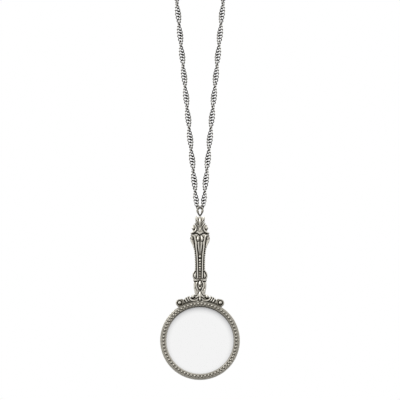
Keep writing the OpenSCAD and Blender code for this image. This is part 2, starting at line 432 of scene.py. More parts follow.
@dataclass(frozen=True)
class AntiqueSilver:
    """Silver plate over cast or drawn metal, dipped in oxide and rubbed back on the high points.

    The eye reads dark hollows, grey flanks and pale, soft highlights, all with a warm cast: oxide and
    polish, mixed with painted shade and painted highlights.
    """

    name: str
    hollow: str = "#545046"
    flank: str = "#a6a195"
    crown: str = "#e6e2d7"
    # Tone value, oxide and polish with painted shade and highlights, at which the hollow's tone ends
    # and the crown's begins, and the flank's place between
    hollow_at: float = 0.15
    crown_at: float = 0.8
    flank_at: float = 0.55
    # How far round a spot its walls reach, and how much darker that makes it: oxide where the cloth
    # can't reach, and painted shade in the recesses
    reach_mm: float = 1.0
    recess_oxide_and_shade: float = 0.45
    # Oxide specks of about 0.05 mm and tumbling marks of 0.02 mm can't show, so they are coarser
    speckle_mm: float = 0.35
    grain_mm: float = 0.12
    speckle: float = 0.16
    hollow_roughness: float = 0.55
    crown_roughness: float = 0.26
    bump: float = 0.12
    bump_mm: float = 0.05

    def material(self) -> bpy.types.Material:
        """Builds the node material.

        Returns:
            The material.
        """
        made, tree = new_material(self.name)
        place = add_node(tree, "ShaderNodeTexCoord").outputs["Object"]
        speckle = add_node(
            tree,
            "ShaderNodeTexNoise",
            inputs={"Vector": place, "Scale": 1 / (self.speckle_mm * MM), "Detail": 3.0},
        )
        # Ambient occlusion darkens the colour in recesses: oxide there, and painted shade
        cover = add_node(
            tree,
            "ShaderNodeAmbientOcclusion",
            {"samples": 12, "only_local": True},
            {"Distance": self.reach_mm * MM},
        )
        wear_and_shade = add_node(tree, "ShaderNodeAttribute", {"attribute_name": "wear_and_shade"})
        recess_darkening = add_node(
            tree, "ShaderNodeMapRange", None,
            {"Value": cover.outputs["AO"], "To Min": 1 - self.recess_oxide_and_shade, "To Max": 1.0},
        )
        open_air = add_node(
            tree, "ShaderNodeMath", {"operation": "MULTIPLY"},
            {0: recess_darkening.outputs["Result"], 1: wear_and_shade.outputs["Fac"]},
        )
        uneven = add_node(
            tree, "ShaderNodeMath", {"operation": "MULTIPLY_ADD"},
            {0: speckle.outputs["Fac"], 1: self.speckle, 2: -self.speckle / 2},
        )
        height = add_node(
            tree, "ShaderNodeMath", {"operation": "ADD"},
            {0: open_air.outputs[0], 1: uneven.outputs[0]},
        )
        rubbed = add_node(
            tree, "ShaderNodeMapRange", {"interpolation_type": "SMOOTHSTEP"},
            {"Value": height.outputs[0], "From Min": self.hollow_at, "From Max": self.crown_at},
        )
        ramp = add_node(tree, "ShaderNodeValToRGB", inputs={"Fac": rubbed.outputs["Result"]})
        stops = ramp.color_ramp.elements
        stops[0].color = linear(self.hollow)
        stops[1].color = linear(self.crown)
        stops.new(self.flank_at).color = linear(self.flank)
        rough = add_node(
            tree, "ShaderNodeMapRange", None,
            {"Value": rubbed.outputs["Result"], "To Min": self.hollow_roughness,
             "To Max": self.crown_roughness},
        )
        grain = add_node(
            tree, "ShaderNodeTexNoise",
            inputs={"Vector": place, "Scale": 1 / (self.grain_mm * MM), "Detail": 2.0},
        )
        bump = add_node(
            tree, "ShaderNodeBump", None,
            {"Height": grain.outputs["Fac"], "Strength": self.bump,
             "Distance": self.bump_mm * MM},
        )
        shader = add_node(
            tree, "ShaderNodeBsdfPrincipled", None,
            {"Base Color": ramp.outputs["Color"], "Metallic": 1.0,
             "Roughness": rough.outputs["Result"], "Normal": bump.outputs["Normal"]},
        )
        add_node(tree, "ShaderNodeOutputMaterial", None, {"Surface": shader.outputs["BSDF"]})
        return made


@dataclass(frozen=True)
class CrownGlass:
    """Ground and polished crown glass: clear, with painted shade towards the edge that stands for the
    rim mirrored in it.
    """

    name: str = "crown_glass_polished"
    # Painted shade: tones by their distance from the middle of the clear part, in millimetres
    edge_shade_tones: tuple[tuple[float, str], ...] = (
        (16.2, "#f5f5f5"), (17.6, "#e9e9e9"), (18.7, "#d0d0d1"), (19.8, "#a2a2a3"),
    )
    # That middle lies below the lens's own, so that the grey edge is wider above
    centre_mm: Spot = (-0.2, 0.0, LENS_Z - 1)
    ior: float = 1.52

    def material(self) -> bpy.types.Material:
        """Builds the node material.

        Returns:
            The material.
        """
        made, tree = new_material(self.name)
        place = add_node(tree, "ShaderNodeTexCoord").outputs["Object"]
        x, y, z = self.centre_mm
        middle = Vector((x, y, z + PIVOT_Z)) * MM
        offset = add_node(
            tree, "ShaderNodeVectorMath", {"operation": "SUBTRACT"}, {0: place, 1: middle}
        )
        flat = add_node(
            tree, "ShaderNodeVectorMath", {"operation": "MULTIPLY"},
            {0: offset.outputs["Vector"], 1: Vector((1, 0, 1))},
        )
        radius = add_node(
            tree, "ShaderNodeVectorMath", {"operation": "LENGTH"}, {0: flat.outputs["Vector"]}
        )
        (first, clear), (last, grey) = self.edge_shade_tones[0], self.edge_shade_tones[-1]
        share = add_node(
            tree, "ShaderNodeMapRange", None,
            {"Value": radius.outputs["Value"], "From Min": first * MM, "From Max": last * MM},
        )
        ramp = add_node(tree, "ShaderNodeValToRGB", inputs={"Fac": share.outputs["Result"]})
        stops = ramp.color_ramp.elements
        stops[0].color = linear(clear)
        stops[1].color = linear(grey)
        for at, tone in self.edge_shade_tones[1:-1]:
            stops.new((at - first) / (last - first)).color = linear(tone)
        shader = add_node(
            tree, "ShaderNodeBsdfPrincipled", None,
            {"Base Color": ramp.outputs["Color"], "Roughness": 0.0, "IOR": self.ior,
             "Transmission Weight": 1.0},
        )
        # A ray mirrored inside the lens leaves it at the next face and isn't lost in it
        path = add_node(tree, "ShaderNodeLightPath")
        through = add_node(tree, "ShaderNodeBsdfTransparent")
        glass = add_node(
            tree, "ShaderNodeMixShader", None,
            {0: path.outputs["Is Reflection Ray"], 1: shader.outputs["BSDF"],
             2: through.outputs["BSDF"]},
        )
        add_node(tree, "ShaderNodeOutputMaterial", None, {"Surface": glass.outputs["Shader"]})
        return made


@dataclass(frozen=True)
class PaleFloor:
    """Matt pale board under the hanging piece, with a faint, wide mottle."""

    name: str = "pale_board_matt"
    tone: str = "#f4f4f2"
    mottle: str = "#f8f8f6"
    mottle_mm: float = 500.0

    def material(self) -> bpy.types.Material:
        """Builds the node material.

        Returns:
            The material.
        """
        made, tree = new_material(self.name)
        place = add_node(tree, "ShaderNodeTexCoord").outputs["Object"]
        mottle = add_node(
            tree, "ShaderNodeTexNoise",
            inputs={"Vector": place, "Scale": 1 / (self.mottle_mm * MM), "Detail": 2.0},
        )
        tint = add_node(
            tree, "ShaderNodeMix", {"data_type": "RGBA"},
            {"Factor": mottle.outputs["Fac"], 6: linear(self.tone), 7: linear(self.mottle)},
        )
        shader = add_node(
            tree, "ShaderNodeBsdfPrincipled", None,
            {"Base Color": tint.outputs[2], "Roughness": 0.9},
        )
        add_node(tree, "ShaderNodeOutputMaterial", None, {"Surface": shader.outputs["BSDF"]})
        return made


def set_wear_and_shade(thing: bpy.types.Object, values: np.ndarray) -> None:
    """Stores each point's tone, from 0 in a hollow to 1 on a crown: oxide and polish, with painted
    shade and painted highlights.

    Args:
        thing: the mesh object.
        values: one number for each vertex.
    """
    made = thing.data.attributes.new("wear_and_shade", "FLOAT", "POINT")
    made.data.foreach_set("value", np.clip(values, 0, 1).astype(np.float32))


def vertex_rows(thing: bpy.types.Object, what: str) -> np.ndarray:
    """Reads a vector from each vertex.

    Args:
        thing: the mesh object.
        what: co for its place or normal for its normal.

    Returns:
        One row for each vertex.
    """
    flat = np.zeros(len(thing.data.vertices) * 3)
    thing.data.vertices.foreach_get(what, flat)
    return flat.reshape(-1, 3)


def corners(thing: bpy.types.Object) -> np.ndarray:
    """Places of the mesh's vertices, one row each."""
    return vertex_rows(thing, "co")


def normals(thing: bpy.types.Object) -> np.ndarray:
    """Normals of the mesh's vertices, one row each."""
    return vertex_rows(thing, "normal")


def move_corners(thing: bpy.types.Object, place: np.ndarray) -> None:
    """Puts the mesh's vertices in their new places."""
    thing.data.vertices.foreach_set("co", place.ravel())
    thing.data.update()


def from_axis(place: np.ndarray, centre: float) -> np.ndarray:
    """Distances of the places from the lens's axis, whose height is centre."""
    return np.hypot(place[:, 0], place[:, 2] - centre)


def seen_height(place: np.ndarray) -> np.ndarray:
    """Heights at which the tilted camera sees the places."""
    return place[:, 2] * math.cos(CAMERA_TILT) + place[:, 1] * math.sin(CAMERA_TILT)


def hump(away: np.ndarray, width: float) -> np.ndarray:
    """Soft bell curve: 1 where away is 0, and a third of that at the width."""
    return np.exp(-((away / width) ** 2))


def flank_shade(thing: bpy.types.Object, least: float) -> np.ndarray:
    """Share of brightness that each vertex keeps: full on the faces, less on the side walls, as
    painted shade.

    Args:
        thing: the mesh object.
        least: the share on a wall that faces sideways.

    Returns:
        One number for each vertex.
    """
    return least + (1 - least) * np.abs(normals(thing)[:, 1])


def smooth_line(points: Pairs, steps: int = 5) -> np.ndarray:
    """Runs a smooth line through the points.

    Args:
        points: the points in the plane.
        steps: steps between two points.

    Returns:
        The line's points, one row each.
    """
    given = np.array(points)
    full = np.vstack((2 * given[0] - given[1], given, 2 * given[-1] - given[-2]))
    line = [given[0]]
    for a, b, c, d in zip(full, full[1:], full[2:], full[3:]):
        for t in np.linspace(0, 1, steps + 1)[1:]:
            line.append(
                0.5 * (2 * b + (c - a) * t + (2 * a - 5 * b + 4 * c - d) * t**2
                       + (3 * b - a - 3 * c + d) * t**3)
            )
    return np.array(line)


def relief_wear(thing: bpy.types.Object, rounds: int, span: float) -> np.ndarray:
    """Works out which points stand proud of their surroundings.

    Args:
        thing: the mesh object, in bench millimetres.
        rounds: how often the surface is averaged with its neighbours.
        span: the height in millimetres that takes the wear from 0 to 1.

    Returns:
        The wear of each vertex, with 0.5 on level ground.
    """
    mesh = thing.data
    count = len(mesh.vertices)
    place = corners(thing)
    edge = np.zeros(len(mesh.edges) * 2, dtype=np.int64)
    mesh.edges.foreach_get("vertices", edge)
    a, b = edge[0::2], edge[1::2]
    degree = np.maximum(np.bincount(edge, minlength=count), 1)[:, None]
    level = place.copy()
    for _ in range(rounds):
        total = np.empty_like(level)
        for axis in range(3):
            total[:, axis] = np.bincount(a, level[b, axis], count)
            total[:, axis] += np.bincount(b, level[a, axis], count)
        level = total / degree
    proud = ((place - level) * normals(thing)).sum(1)
    return 0.5 + proud / span


def finish_piece(
    thing: bpy.types.Object, body: Body, slot: Slot, finish: bpy.types.Material, *nodes: str
) -> None:
    """Dresses a piece, hangs it on its body and lets it stand for its solids.

    Args:
        thing: the piece, in its place.
        body: the body it moves with.
        slot: the record's material slot; not used.
        finish: the piece's material.
        nodes: the solids that it replaces.
    """
    thing.data.materials.clear()
    thing.data.materials.append(finish)
    choose(thing)
    bpy.ops.object.shade_smooth()
    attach(thing, body.value)
    if nodes:
        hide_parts(*nodes)
    LOG.info("%s: %d faces", thing.name, len(thing.data.polygons))


# The cast handle


@dataclass(frozen=True)
class Stroke:
    """One ridge, leaf or scroll of the relief, seen from the front.

    Points are x, height as seen from the camera's tilt, and half width. Lift is how far it
    stands over its face. One that isn't in the middle has a mirror image.
    """

    points: tuple[Spot, ...]
    lift: float = 0.2
    middle: bool = False


@dataclass(frozen=True)
class Groove:
    """One sunk line of the relief and its mirror image: x and seen height of its points.

    Dark is how much brightness it takes: oxide in the groove, and painted shadow where it runs under
    a ball.
    """

    points: Pairs
    width: float = 0.3
    depth: float = 0.4
    dark: float = 0.35


@dataclass(frozen=True)
class Bead:
    """One ball of the relief, with its mirror image if it stands at the side.

    Lift is how far it stands over the face, and its last number scales the painted highlight on its
    top and the darker ring round it.
    """

    x: float
    seen: float
    radius: float
    lift: float = 0.15
    brightening: float = 0.2


def real_height(seen: float, out: float) -> float:
    """Height on the pendant of a spot that the tilted camera sees at another height.

    Args:
        seen: height in the view.
        out: how far the spot stands out of the front.

    Returns:
        The height on the pendant.
    """
    return (seen + out * math.sin(CAMERA_TILT)) / math.cos(CAMERA_TILT)


@dataclass
class CastHandle:
    """The handle with its palmette, scrolls, ears, shaft, collar, sleeve and crest."""

    # How far the back, the faces and the sunk ground stand off the middle plane
    back: float = 1.6
    face: float = 0.9
    sunk_face: float = 0.3
    crest_face: float = 1.6
    # Depth of a ridge or ball as a share of its width
    flatness: float = 0.75
    # Fineness of the fused casting, and the most triangles that it keeps
    voxel: float = 0.115
    most_triangles: int = 186000
    rim_centre: float = LENS_Z
    rim_radius: float = RIM_RADIUS
    # How far the crest's lower edge runs on into the rim, and its steps
    crest_overlap: float = 0.7
    crest_steps: int = 24
    # Round end of a ridge: shares of its last half width, onwards and left in width
    tip: Pairs = ((0.7, 0.7), (1.0, 0.2))

    # Half widths at seen heights: the palmette, the sunk ground behind the scrolls, the body
    palmette: Pairs = (
        (-0.8, 0.9), (-1.2, 1.9), (-2.2, 2.2), (-3.1, 1.9), (-4.2, 2.05), (-5.0, 2.1),
        (-5.8, 2.0), (-6.4, 1.9), (-7.6, 1.9), (-8.9, 2.2),
    )
    ground: Pairs = (
        (-3.6, 1.6), (-4.6, 2.3), (-5.4, 3.2), (-6.2, 4.1), (-7.0, 4.35), (-7.8, 4.2),
        (-8.5, 3.9), (-9.2, 4.3), (-9.7, 4.8),
    )
    body: Pairs = (
        (-8.8, 2.3), (-9.3, 3.9), (-9.9, 5.0), (-10.6, 4.9), (-11.4, 5.2), (-12.6, 5.5),
        (-13.8, 5.4), (-15.2, 4.8), (-16.6, 4.05), (-18.3, 3.45), (-20.0, 3.15), (-23.3, 2.8),
        (-27.0, 2.7), (-30.2, 2.7), (-31.6, 3.1), (-33.2, 3.75), (-34.8, 3.8), (-35.6, 3.7),
        (-36.6, 3.4), (-38.4, 3.6), (-40.2, 3.5), (-42.0, 3.15), (-43.4, 2.95), (-44.4, 3.3),
        (-45.1, 4.5), (-46.0, 5.2), (-47.2, 5.6), (-48.3, 5.6),
    )
    # Top edge of the crest's upper step, from its middle to the rosette
    crest: Pairs = (
        (0.9, -47.4), (3.3, -47.2), (4.6, -46.6), (5.4, -45.4), (6.5, -45.2), (7.5, -45.6),
        (8.2, -46.2), (9.0, -46.9), (10.2, -47.0), (11.2, -47.6),
    )

    strokes: tuple[Stroke, ...] = (
        # Palmette: the two upper petals, the middle drop and the side blades
        Stroke(((2.05, -0.45, 0.35), (2.12, -1.2, 0.68), (1.86, -2.15, 0.74), (1.34, -3.2, 0.52),
                (0.85, -4.2, 0.32), (0.55, -5.2, 0.16)), 0.35),
        Stroke(((0, -1.6, 0.28), (0, -2.5, 0.58), (0, -3.4, 0.76), (0, -4.2, 0.64),
                (0, -5.2, 0.42), (0, -6.2, 0.24)), 0.7, True),
        Stroke(((2.4, -2.85, 0.36), (1.98, -3.35, 0.56), (1.45, -4.2, 0.54), (1.02, -5.2, 0.4),
                (0.8, -6.2, 0.32), (0.62, -7.3, 0.2)), 0.2),
        Stroke(((2.85, -4.2, 0.32), (2.35, -4.6, 0.48), (1.75, -5.5, 0.46), (1.38, -6.6, 0.36),
                (1.15, -7.8, 0.3), (1.2, -8.7, 0.2)), 0.15),
        # C scroll round the upper ball, swelling to the cornice
        Stroke(((3.85, -5.5, 0.28), (3.15, -5.35, 0.4), (2.5, -5.8, 0.44), (2.12, -6.8, 0.44),
                (2.2, -7.7, 0.48), (2.7, -8.5, 0.54), (3.45, -9.05, 0.54), (4.35, -9.55, 0.46),
                (5.15, -9.85, 0.3)), 0.4),
        # Small leaf in the hollow, and the brow
        Stroke(((0, -6.9, 0.22), (0, -7.8, 0.55), (0, -8.5, 0.3)), -0.2, True),
        Stroke(((-2.1, -9.2, 0.4), (-1.1, -9.35, 0.52), (0, -9.95, 0.62), (1.1, -9.35, 0.52),
                (2.1, -9.2, 0.4)), 0.3, True),
        # Cornice ridge that turns down and runs on as the border of the shaft
        Stroke(((5.1, -10.95, 0.28), (4.3, -10.95, 0.42), (3.4, -11.35, 0.52), (2.9, -12.25, 0.5),
                (2.62, -13.5, 0.48), (2.4, -14.8, 0.46), (2.25, -16.3, 0.46), (1.97, -19.5, 0.45),
                (1.66, -22.2, 0.43), (1.48, -24.5, 0.43), (1.42, -28.0, 0.43), (1.38, -31.5, 0.43),
                (1.34, -34.9, 0.4)), 0.3),
        # Ear and its tail along the outer edge
        Stroke(((4.95, -13.5, 0.55), (4.7, -14.3, 0.58), (4.3, -15.3, 0.5), (3.85, -16.4, 0.42),
                (3.5, -17.5, 0.36)), 0.0),
        # Petals, slender leaves and the low leaves of the channel below the balls
        Stroke(((0.85, -11.4, 0.24), (1.0, -12.0, 0.5), (1.14, -12.8, 0.76),
                (1.16, -13.5, 0.82), (1.1, -13.95, 0.55)), 0.45),
        Stroke(((0.6, -14.7, 0.3), (0.82, -15.5, 0.52), (0.76, -16.9, 0.48), (0.58, -18.7, 0.4),
                (0.38, -20.4, 0.28), (0.2, -21.7, 0.16)), 0.2),
        Stroke(((1.72, -13.9, 0.24), (1.6, -15.0, 0.34), (1.4, -16.5, 0.24)), 0.05),
        Stroke(((0, -31.5, 0.4), (0, -32.1, 0.62), (0, -32.6, 0.4)), -0.15, True),
        Stroke(((0, -32.9, 0.4), (0, -33.5, 0.62), (0, -34.0, 0.4)), -0.15, True),
        Stroke(((0, -34.3, 0.4), (0, -34.9, 0.6), (0, -35.3, 0.3)), -0.15, True),
        # Drop in each side loop, and the loop's own rim
        Stroke(((2.35, -32.1, 0.2), (2.68, -33.1, 0.48), (2.78, -34.0, 0.52), (2.65, -34.7, 0.28)),
               0.2),
        Stroke(((2.4, -30.6, 0.28), (3.25, -31.3, 0.34), (3.82, -32.7, 0.36), (3.8, -34.3, 0.38),
                (3.2, -35.35, 0.38), (2.3, -35.7, 0.32)), 0.15),
        # Collar moulding
        Stroke(((1.2, -35.95, 0.36), (2.3, -36.15, 0.42), (3.5, -36.1, 0.4)), 0.25),
        # Drop in the pointed oval on the sleeve, and the oval's own rim
        Stroke(((0, -36.5, 0.28), (0, -37.3, 0.62), (0, -38.1, 0.92), (0, -38.8, 0.66),
                (0, -39.15, 0.3)), 0.35, True),
        Stroke(((1.7, -37.3, 0.32), (2.1, -38.5, 0.42), (2.05, -39.7, 0.42), (1.55, -40.9, 0.4),
                (1.0, -41.8, 0.32)), -0.05),
        # Low leaves beside the oval
        Stroke(((3.1, -37.4, 0.3), (3.0, -38.7, 0.42), (2.85, -40.1, 0.28)), -0.15),
        Stroke(((2.95, -40.7, 0.28), (2.6, -41.9, 0.46), (2.4, -43.3, 0.28)), -0.15),
        Stroke(((1.9, -41.9, 0.26), (1.75, -42.9, 0.38), (1.95, -43.8, 0.26)), -0.15),
        # Flare of the sleeve's foot, its curled ends and its middle leaf
        Stroke(((0, -42.2, 0.3), (0, -43.1, 0.66), (0, -44.1, 1.0), (0, -45.1, 1.15),
                (0, -46.0, 0.8)), -0.1, True),
        Stroke(((0.75, -44.2, 0.34), (1.3, -45.0, 0.42), (2.1, -45.5, 0.38), (2.8, -45.4, 0.26)),
               0.45),
        Stroke(((0, -45.4, 0.3), (0, -46.3, 0.62), (0, -47.3, 0.45)), 0.45, True),
        Stroke(((1.1, -46.3, 0.34), (1.7, -46.8, 0.42), (2.5, -46.8, 0.26)), 0.3),
    )
    crest_strokes: tuple[Stroke, ...] = (
        # C scroll under each lower ball
        Stroke(((6.0, -44.9, 0.34), (5.85, -46.0, 0.48), (4.95, -46.95, 0.58), (3.5, -47.4, 0.56),
                (2.1, -47.5, 0.46), (0.9, -47.9, 0.34)), 0.35),
        # Leaf tips beside the scroll
        Stroke(((7.0, -45.3, 0.34), (6.85, -46.35, 0.42), (6.1, -47.5, 0.34)), 0.25),
        Stroke(((8.2, -45.85, 0.34), (8.0, -46.9, 0.44), (7.2, -48.1, 0.34)), 0.25),
        # Leaf that runs from the rosette down to the rim
        Stroke(((10.6, -46.75, 0.32), (9.8, -46.75, 0.38), (9.35, -47.4, 0.38), (8.9, -48.6, 0.28)),
               0.1),
        Stroke(((5.4, -47.9, 0.26), (4.1, -48.35, 0.32), (2.7, -48.5, 0.26)), -0.1),
    )
    # Upper balls, ears, the shaft's row, the sleeve's ball and the lower balls
    beads: tuple[Bead, ...] = (
        Bead(3.75, -6.9, 0.9, 0.25, 0.7), Bead(4.65, -12.7, 0.98, -0.1, -0.3),
        Bead(0, -22.9, 0.78, 0.35, 0.6), Bead(0, -24.95, 0.68, 0.35, 0.6),
        Bead(0, -26.4, 0.62, 0.35, 0.5), Bead(0, -27.85, 0.6, 0.35, 0.5),
        Bead(0, -29.25, 0.62, 0.45, 0.6), Bead(0, -30.5, 0.54, 0.4, 0.3),
        Bead(0, -40.5, 0.7, 0.4, 0.8), Bead(4.0, -45.0, 0.96, 0.9, 0.9),
    )
    grooves: tuple[Groove, ...] = (
        # Palmette and scrolls
        Groove(((0.64, -1.6), (0.86, -2.8), (0.74, -3.9), (0.5, -5.0), (0.38, -6.2)),
               0.24, 0.25, 0.2),
        Groove(((2.35, -2.5), (1.75, -3.2), (1.15, -4.2), (0.8, -5.2)), 0.28, 0.4, 0.5),
        Groove(((2.5, -3.7), (1.95, -4.2), (1.3, -4.9), (0.85, -5.6)), 0.3, 0.45, 0.85),
        Groove(((1.1, -5.8), (0.95, -6.8), (0.9, -8.0)), 0.26, 0.35, 0.4),
        Groove(((2.85, -4.75), (2.2, -5.2), (1.72, -5.9), (1.55, -6.8), (1.62, -7.7), (1.95, -8.6),
                (2.6, -9.4), (3.5, -9.95), (4.4, -10.3)), 0.42, 0.5, 0.95),
        Groove(((2.85, -6.6), (2.85, -7.5), (3.4, -8.15), (4.1, -7.95)), 0.28, 0.3, 0.5),
        # Dark line under the cornice, dipping to a point in the middle
        Groove(((5.5, -10.5), (4.4, -10.4), (3.2, -10.3), (2.2, -10.05), (1.4, -10.25),
                (0.6, -10.95), (0, -11.3)), 0.34, 0.5, 0.45),
        # Ear: its eye and the channel between its tail and the border
        Groove(((3.95, -12.6), (4.3, -12.05), (4.9, -12.0), (5.3, -12.5), (5.25, -13.2)), 0.22, 0.25),
        Groove(((3.85, -11.9), (3.6, -12.6), (3.5, -13.6), (3.3, -15.0), (3.0, -16.6), (2.72, -18.3),
                (2.5, -20.0), (2.24, -22.5), (2.08, -26.0), (2.02, -30.3)), 0.34, 0.5, 0.45),
        # Between petals, leaves and border
        Groove(((0, -11.5), (0, -14.0), (0, -18.0), (0, -21.6)), 0.26, 0.5, 0.5),
        Groove(((1.5, -11.2), (1.9, -12.2), (2.0, -13.2), (1.6, -14.3), (1.25, -15.4),
                (1.35, -17.2), (1.15, -19.4), (0.8, -21.4)), 0.28, 0.4, 0.4),
        Groove(((0.2, -14.5), (1.2, -14.55)), 0.2, 0.2, 0.1),
        # Cells of the shaft's row of balls
        Groove(((0.72, -21.9), (0.84, -22.9), (0.76, -24.0), (0.8, -25.0), (0.72, -25.8),
                (0.76, -27.8), (0.72, -29.2), (0.64, -31.0)), 0.3, 0.5, 0.5),
        Groove(((0, -23.95), (0.8, -23.95)), 0.24, 0.4, 0.5),
        Groove(((0, -25.7), (0.7, -25.7)), 0.18, 0.3, 0.45),
        Groove(((0, -27.12), (0.7, -27.12)), 0.18, 0.3, 0.45),
        Groove(((0, -28.55), (0.7, -28.55)), 0.18, 0.3, 0.45),
        Groove(((0, -29.87), (0.7, -29.87)), 0.18, 0.3, 0.45),
        Groove(((0.75, -31.0), (0.8, -33.0), (0.78, -35.2)), 0.2, 0.25, 0.3),
        Groove(((0, -31.5), (0, -35.4)), 0.7, 0.1, 0.4),
        # Side loops
        Groove(((2.2, -31.1), (2.98, -31.75), (3.5, -32.9), (3.48, -34.2), (2.95, -35.1),
                (2.25, -34.8), (2.0, -33.6), (2.06, -32.3), (2.2, -31.1)), 0.28, 0.4, 0.7),
        # Collar and sleeve
        Groove(((1.5, -36.6), (2.3, -36.95), (3.2, -36.9), (3.75, -36.6)), 0.34, 0.45, 0.5),
        Groove(((0, -35.85), (0.65, -36.7), (1.25, -37.8), (1.46, -38.9), (1.25, -40.1),
                (0.7, -41.1), (0, -41.9)), 0.28, 0.45, 0.45),
        Groove(((0, -39.55), (0.45, -39.55)), 0.2, 0.25, 0.25),
        Groove(((0.25, -41.9), (0.75, -43.0), (1.25, -44.0), (2.1, -44.75), (2.9, -44.6)),
               0.26, 0.4, 0.45),
        Groove(((2.35, -39.9), (2.6, -40.6), (3.3, -40.7)), 0.2, 0.15, 0.2),
        # Crest: hollow under each lower ball, gaps between the leaves, line above the rim
        Groove(((2.9, -45.55), (3.3, -46.05), (4.0, -46.3), (4.8, -46.0), (5.2, -45.2),
                (5.15, -44.5)), 0.44, 0.5, 0.95),
        Groove(((6.4, -45.0), (6.25, -46.2), (5.5, -47.3), (4.2, -47.95), (2.6, -48.05)),
               0.3, 0.5, 0.9),
        Groove(((7.62, -45.2), (7.45, -46.6), (6.65, -47.8)), 0.32, 0.5, 0.9),
        Groove(((8.75, -46.2), (8.55, -47.2), (7.9, -48.4)), 0.3, 0.35, 0.3),
    )
    # Extra brightness at seen heights, most near the top
    brightening: Pairs = (
        (-0.5, 0.3), (-6.0, 0.34), (-9.0, 0.22), (-10.5, 0.12), (-14.5, 0.14), (-18.0, 0.04),
        (-36.0, 0.04), (-44.0, 0.08), (-46.0, 0.0), (-50.0, 0.0),
    )
    # The rosette: x and seen height, its ring and ball, and steps of its disc and ball
    rosette: tuple[float, float] = (11.35, -48.6)
    rosette_ring: float = 1.75
    rosette_wire: float = 0.42
    rosette_ball: float = 1.02
    rosette_out: float = 0.5
    rosette_step: float = 0.1
    rosette_lift: float = 0.2
    rosette_sides: tuple[int, int] = (40, 12)
    # The eye that hangs in the bail, and how far its middle lies below the bail's lowest wire
    eye_radius: float = 1.09
    eye_wire: float = 0.34
    eye_drop: float = 0.42
    eye_sides: tuple[int, int] = (36, 12)
    # The notched edge of the shaft: seen heights of its ends, its balls and their radius
    rope_from: float = -17.3
    rope_to: float = -30.6
    rope_count: int = 12
    rope_radius: float = 0.46
    rope_sides: int = 14
    # Averaging rounds and the height that find what stands proud, the side walls' share of
    # brightness, which is painted shade, and how much the grooves darken, with oxide and painted
    # shadow
    proud_rounds: int = 32
    proud_span: float = 0.5
    wall_lit_share: float = 0.7
    groove_oxide_and_shade: float = 0.8
    # Painted highlight on top of a ball, and the oxide and painted shade in the ring round it and
    # that ring's width
    ball_highlight: float = 1.5
    ball_ring_oxide_and_shade: float = 0.45
    ball_ring: float = 0.22
    # Darkening round the rosette's ball: from which x, clear of the ball by how much, both with a
    # fade
    rosette_darkening: float = 0.2
    rosette_side: tuple[float, float] = (8.8, 0.8)
    rosette_clear: tuple[float, float] = (0.9, 0.3)
    # Oxide in the line where the crest meets the rim: its place and width
    rim_line_oxide: float = 0.25
    rim_line: tuple[float, float] = (0.1, 0.35)
    # Painted shadow over the eye where the bail passes through it: from which height, with a fade
    eye_shade: float = 0.9
    eye_side: tuple[float, float] = (-0.9, 0.5)

    def half_width(self, seen: float) -> float:
        """Half width of the body at a seen height.

        Args:
            seen: the height in the view.

        Returns:
            The half width.
        """
        heights = [-row[0] for row in self.body]
        return float(np.interp(-seen, heights, [row[1] for row in self.body]))

    def plates(self) -> list[bpy.types.Object]:
        """Cuts the palmette, the sunk ground, the body and the crest's arched band.

        Returns:
            The plates.
        """
        made = []
        for table, face in (
            (self.palmette, self.face), (self.ground, self.sunk_face), (self.body, self.face)
        ):
            side = [(half, real_height(seen, 0)) for seen, half in table]
            outline = side + [(-x, z) for x, z in reversed(side)]
            made.append(slab(outline, self.back, -face))
        top = [(x, real_height(seen, self.crest_face)) for x, seen in self.crest]
        reach = self.rim_radius - self.crest_overlap
        span = math.degrees(math.asin(self.rosette[0] / reach))
        edge = arc(0, self.rim_centre, reach, 90 - span, 2 * span, self.crest_steps)
        under = [(p.x, p.z) for p in edge]
        band = [(-x, z) for x, z in reversed(top)] + top + under
        made.append(slab(band, self.back, -self.crest_face))
        return made

    def tube(self, stroke: Stroke, face: float) -> list[Run]:
        """Places a stroke on a face, with round ends, and mirrors it if it stands at the side.

        Args:
            stroke: the stroke.
            face: how far the face stands out of the front.

        Returns:
            One run of points for each copy.
        """
        out = face + stroke.lift
        run = [
            (Vector((x, -out, real_height(seen, out + r / 2))), r) for x, seen, r in stroke.points
        ]
        for end, inner in ((0, 1), (-1, -2)):
            place, radius = run[end]
            away = (place - run[inner][0]).normalized()
            cap = [(place + away * radius * on, radius * left) for on, left in self.tip]
            run = cap[::-1] + run if end == 0 else run + cap
        if stroke.middle:
            return [run]
        return [run, [(Vector((-p.x, p.y, p.z)), r) for p, r in run]]

    def balls(self) -> list[bpy.types.Object]:
        """Sets the balls of the relief and of the notched edge.

        Returns:
            The balls.
        """
        made = []
        flatten = Matrix.Diagonal((1, self.flatness, 1, 1))
        for bead in self.beads:
            out = self.face + bead.lift
            z = real_height(bead.seen, out + bead.radius / 2)
            for x in sorted({bead.x, -bead.x}):
                dome = ball(x, 0, z, bead.radius)
                dome.data.transform(Matrix.Translation((0, -out, 0)) @ flatten)
                made.append(dome)
        for i in range(self.rope_count):
            seen = self.rope_from + (self.rope_to - self.rope_from) * i / (self.rope_count - 1)
            x = self.half_width(seen) - self.rope_radius / 2
            z = real_height(seen, self.face)
            for side in (-1, 1):
                made.append(ball(side * x, -self.face, z, self.rope_radius, self.rope_sides))
        return made

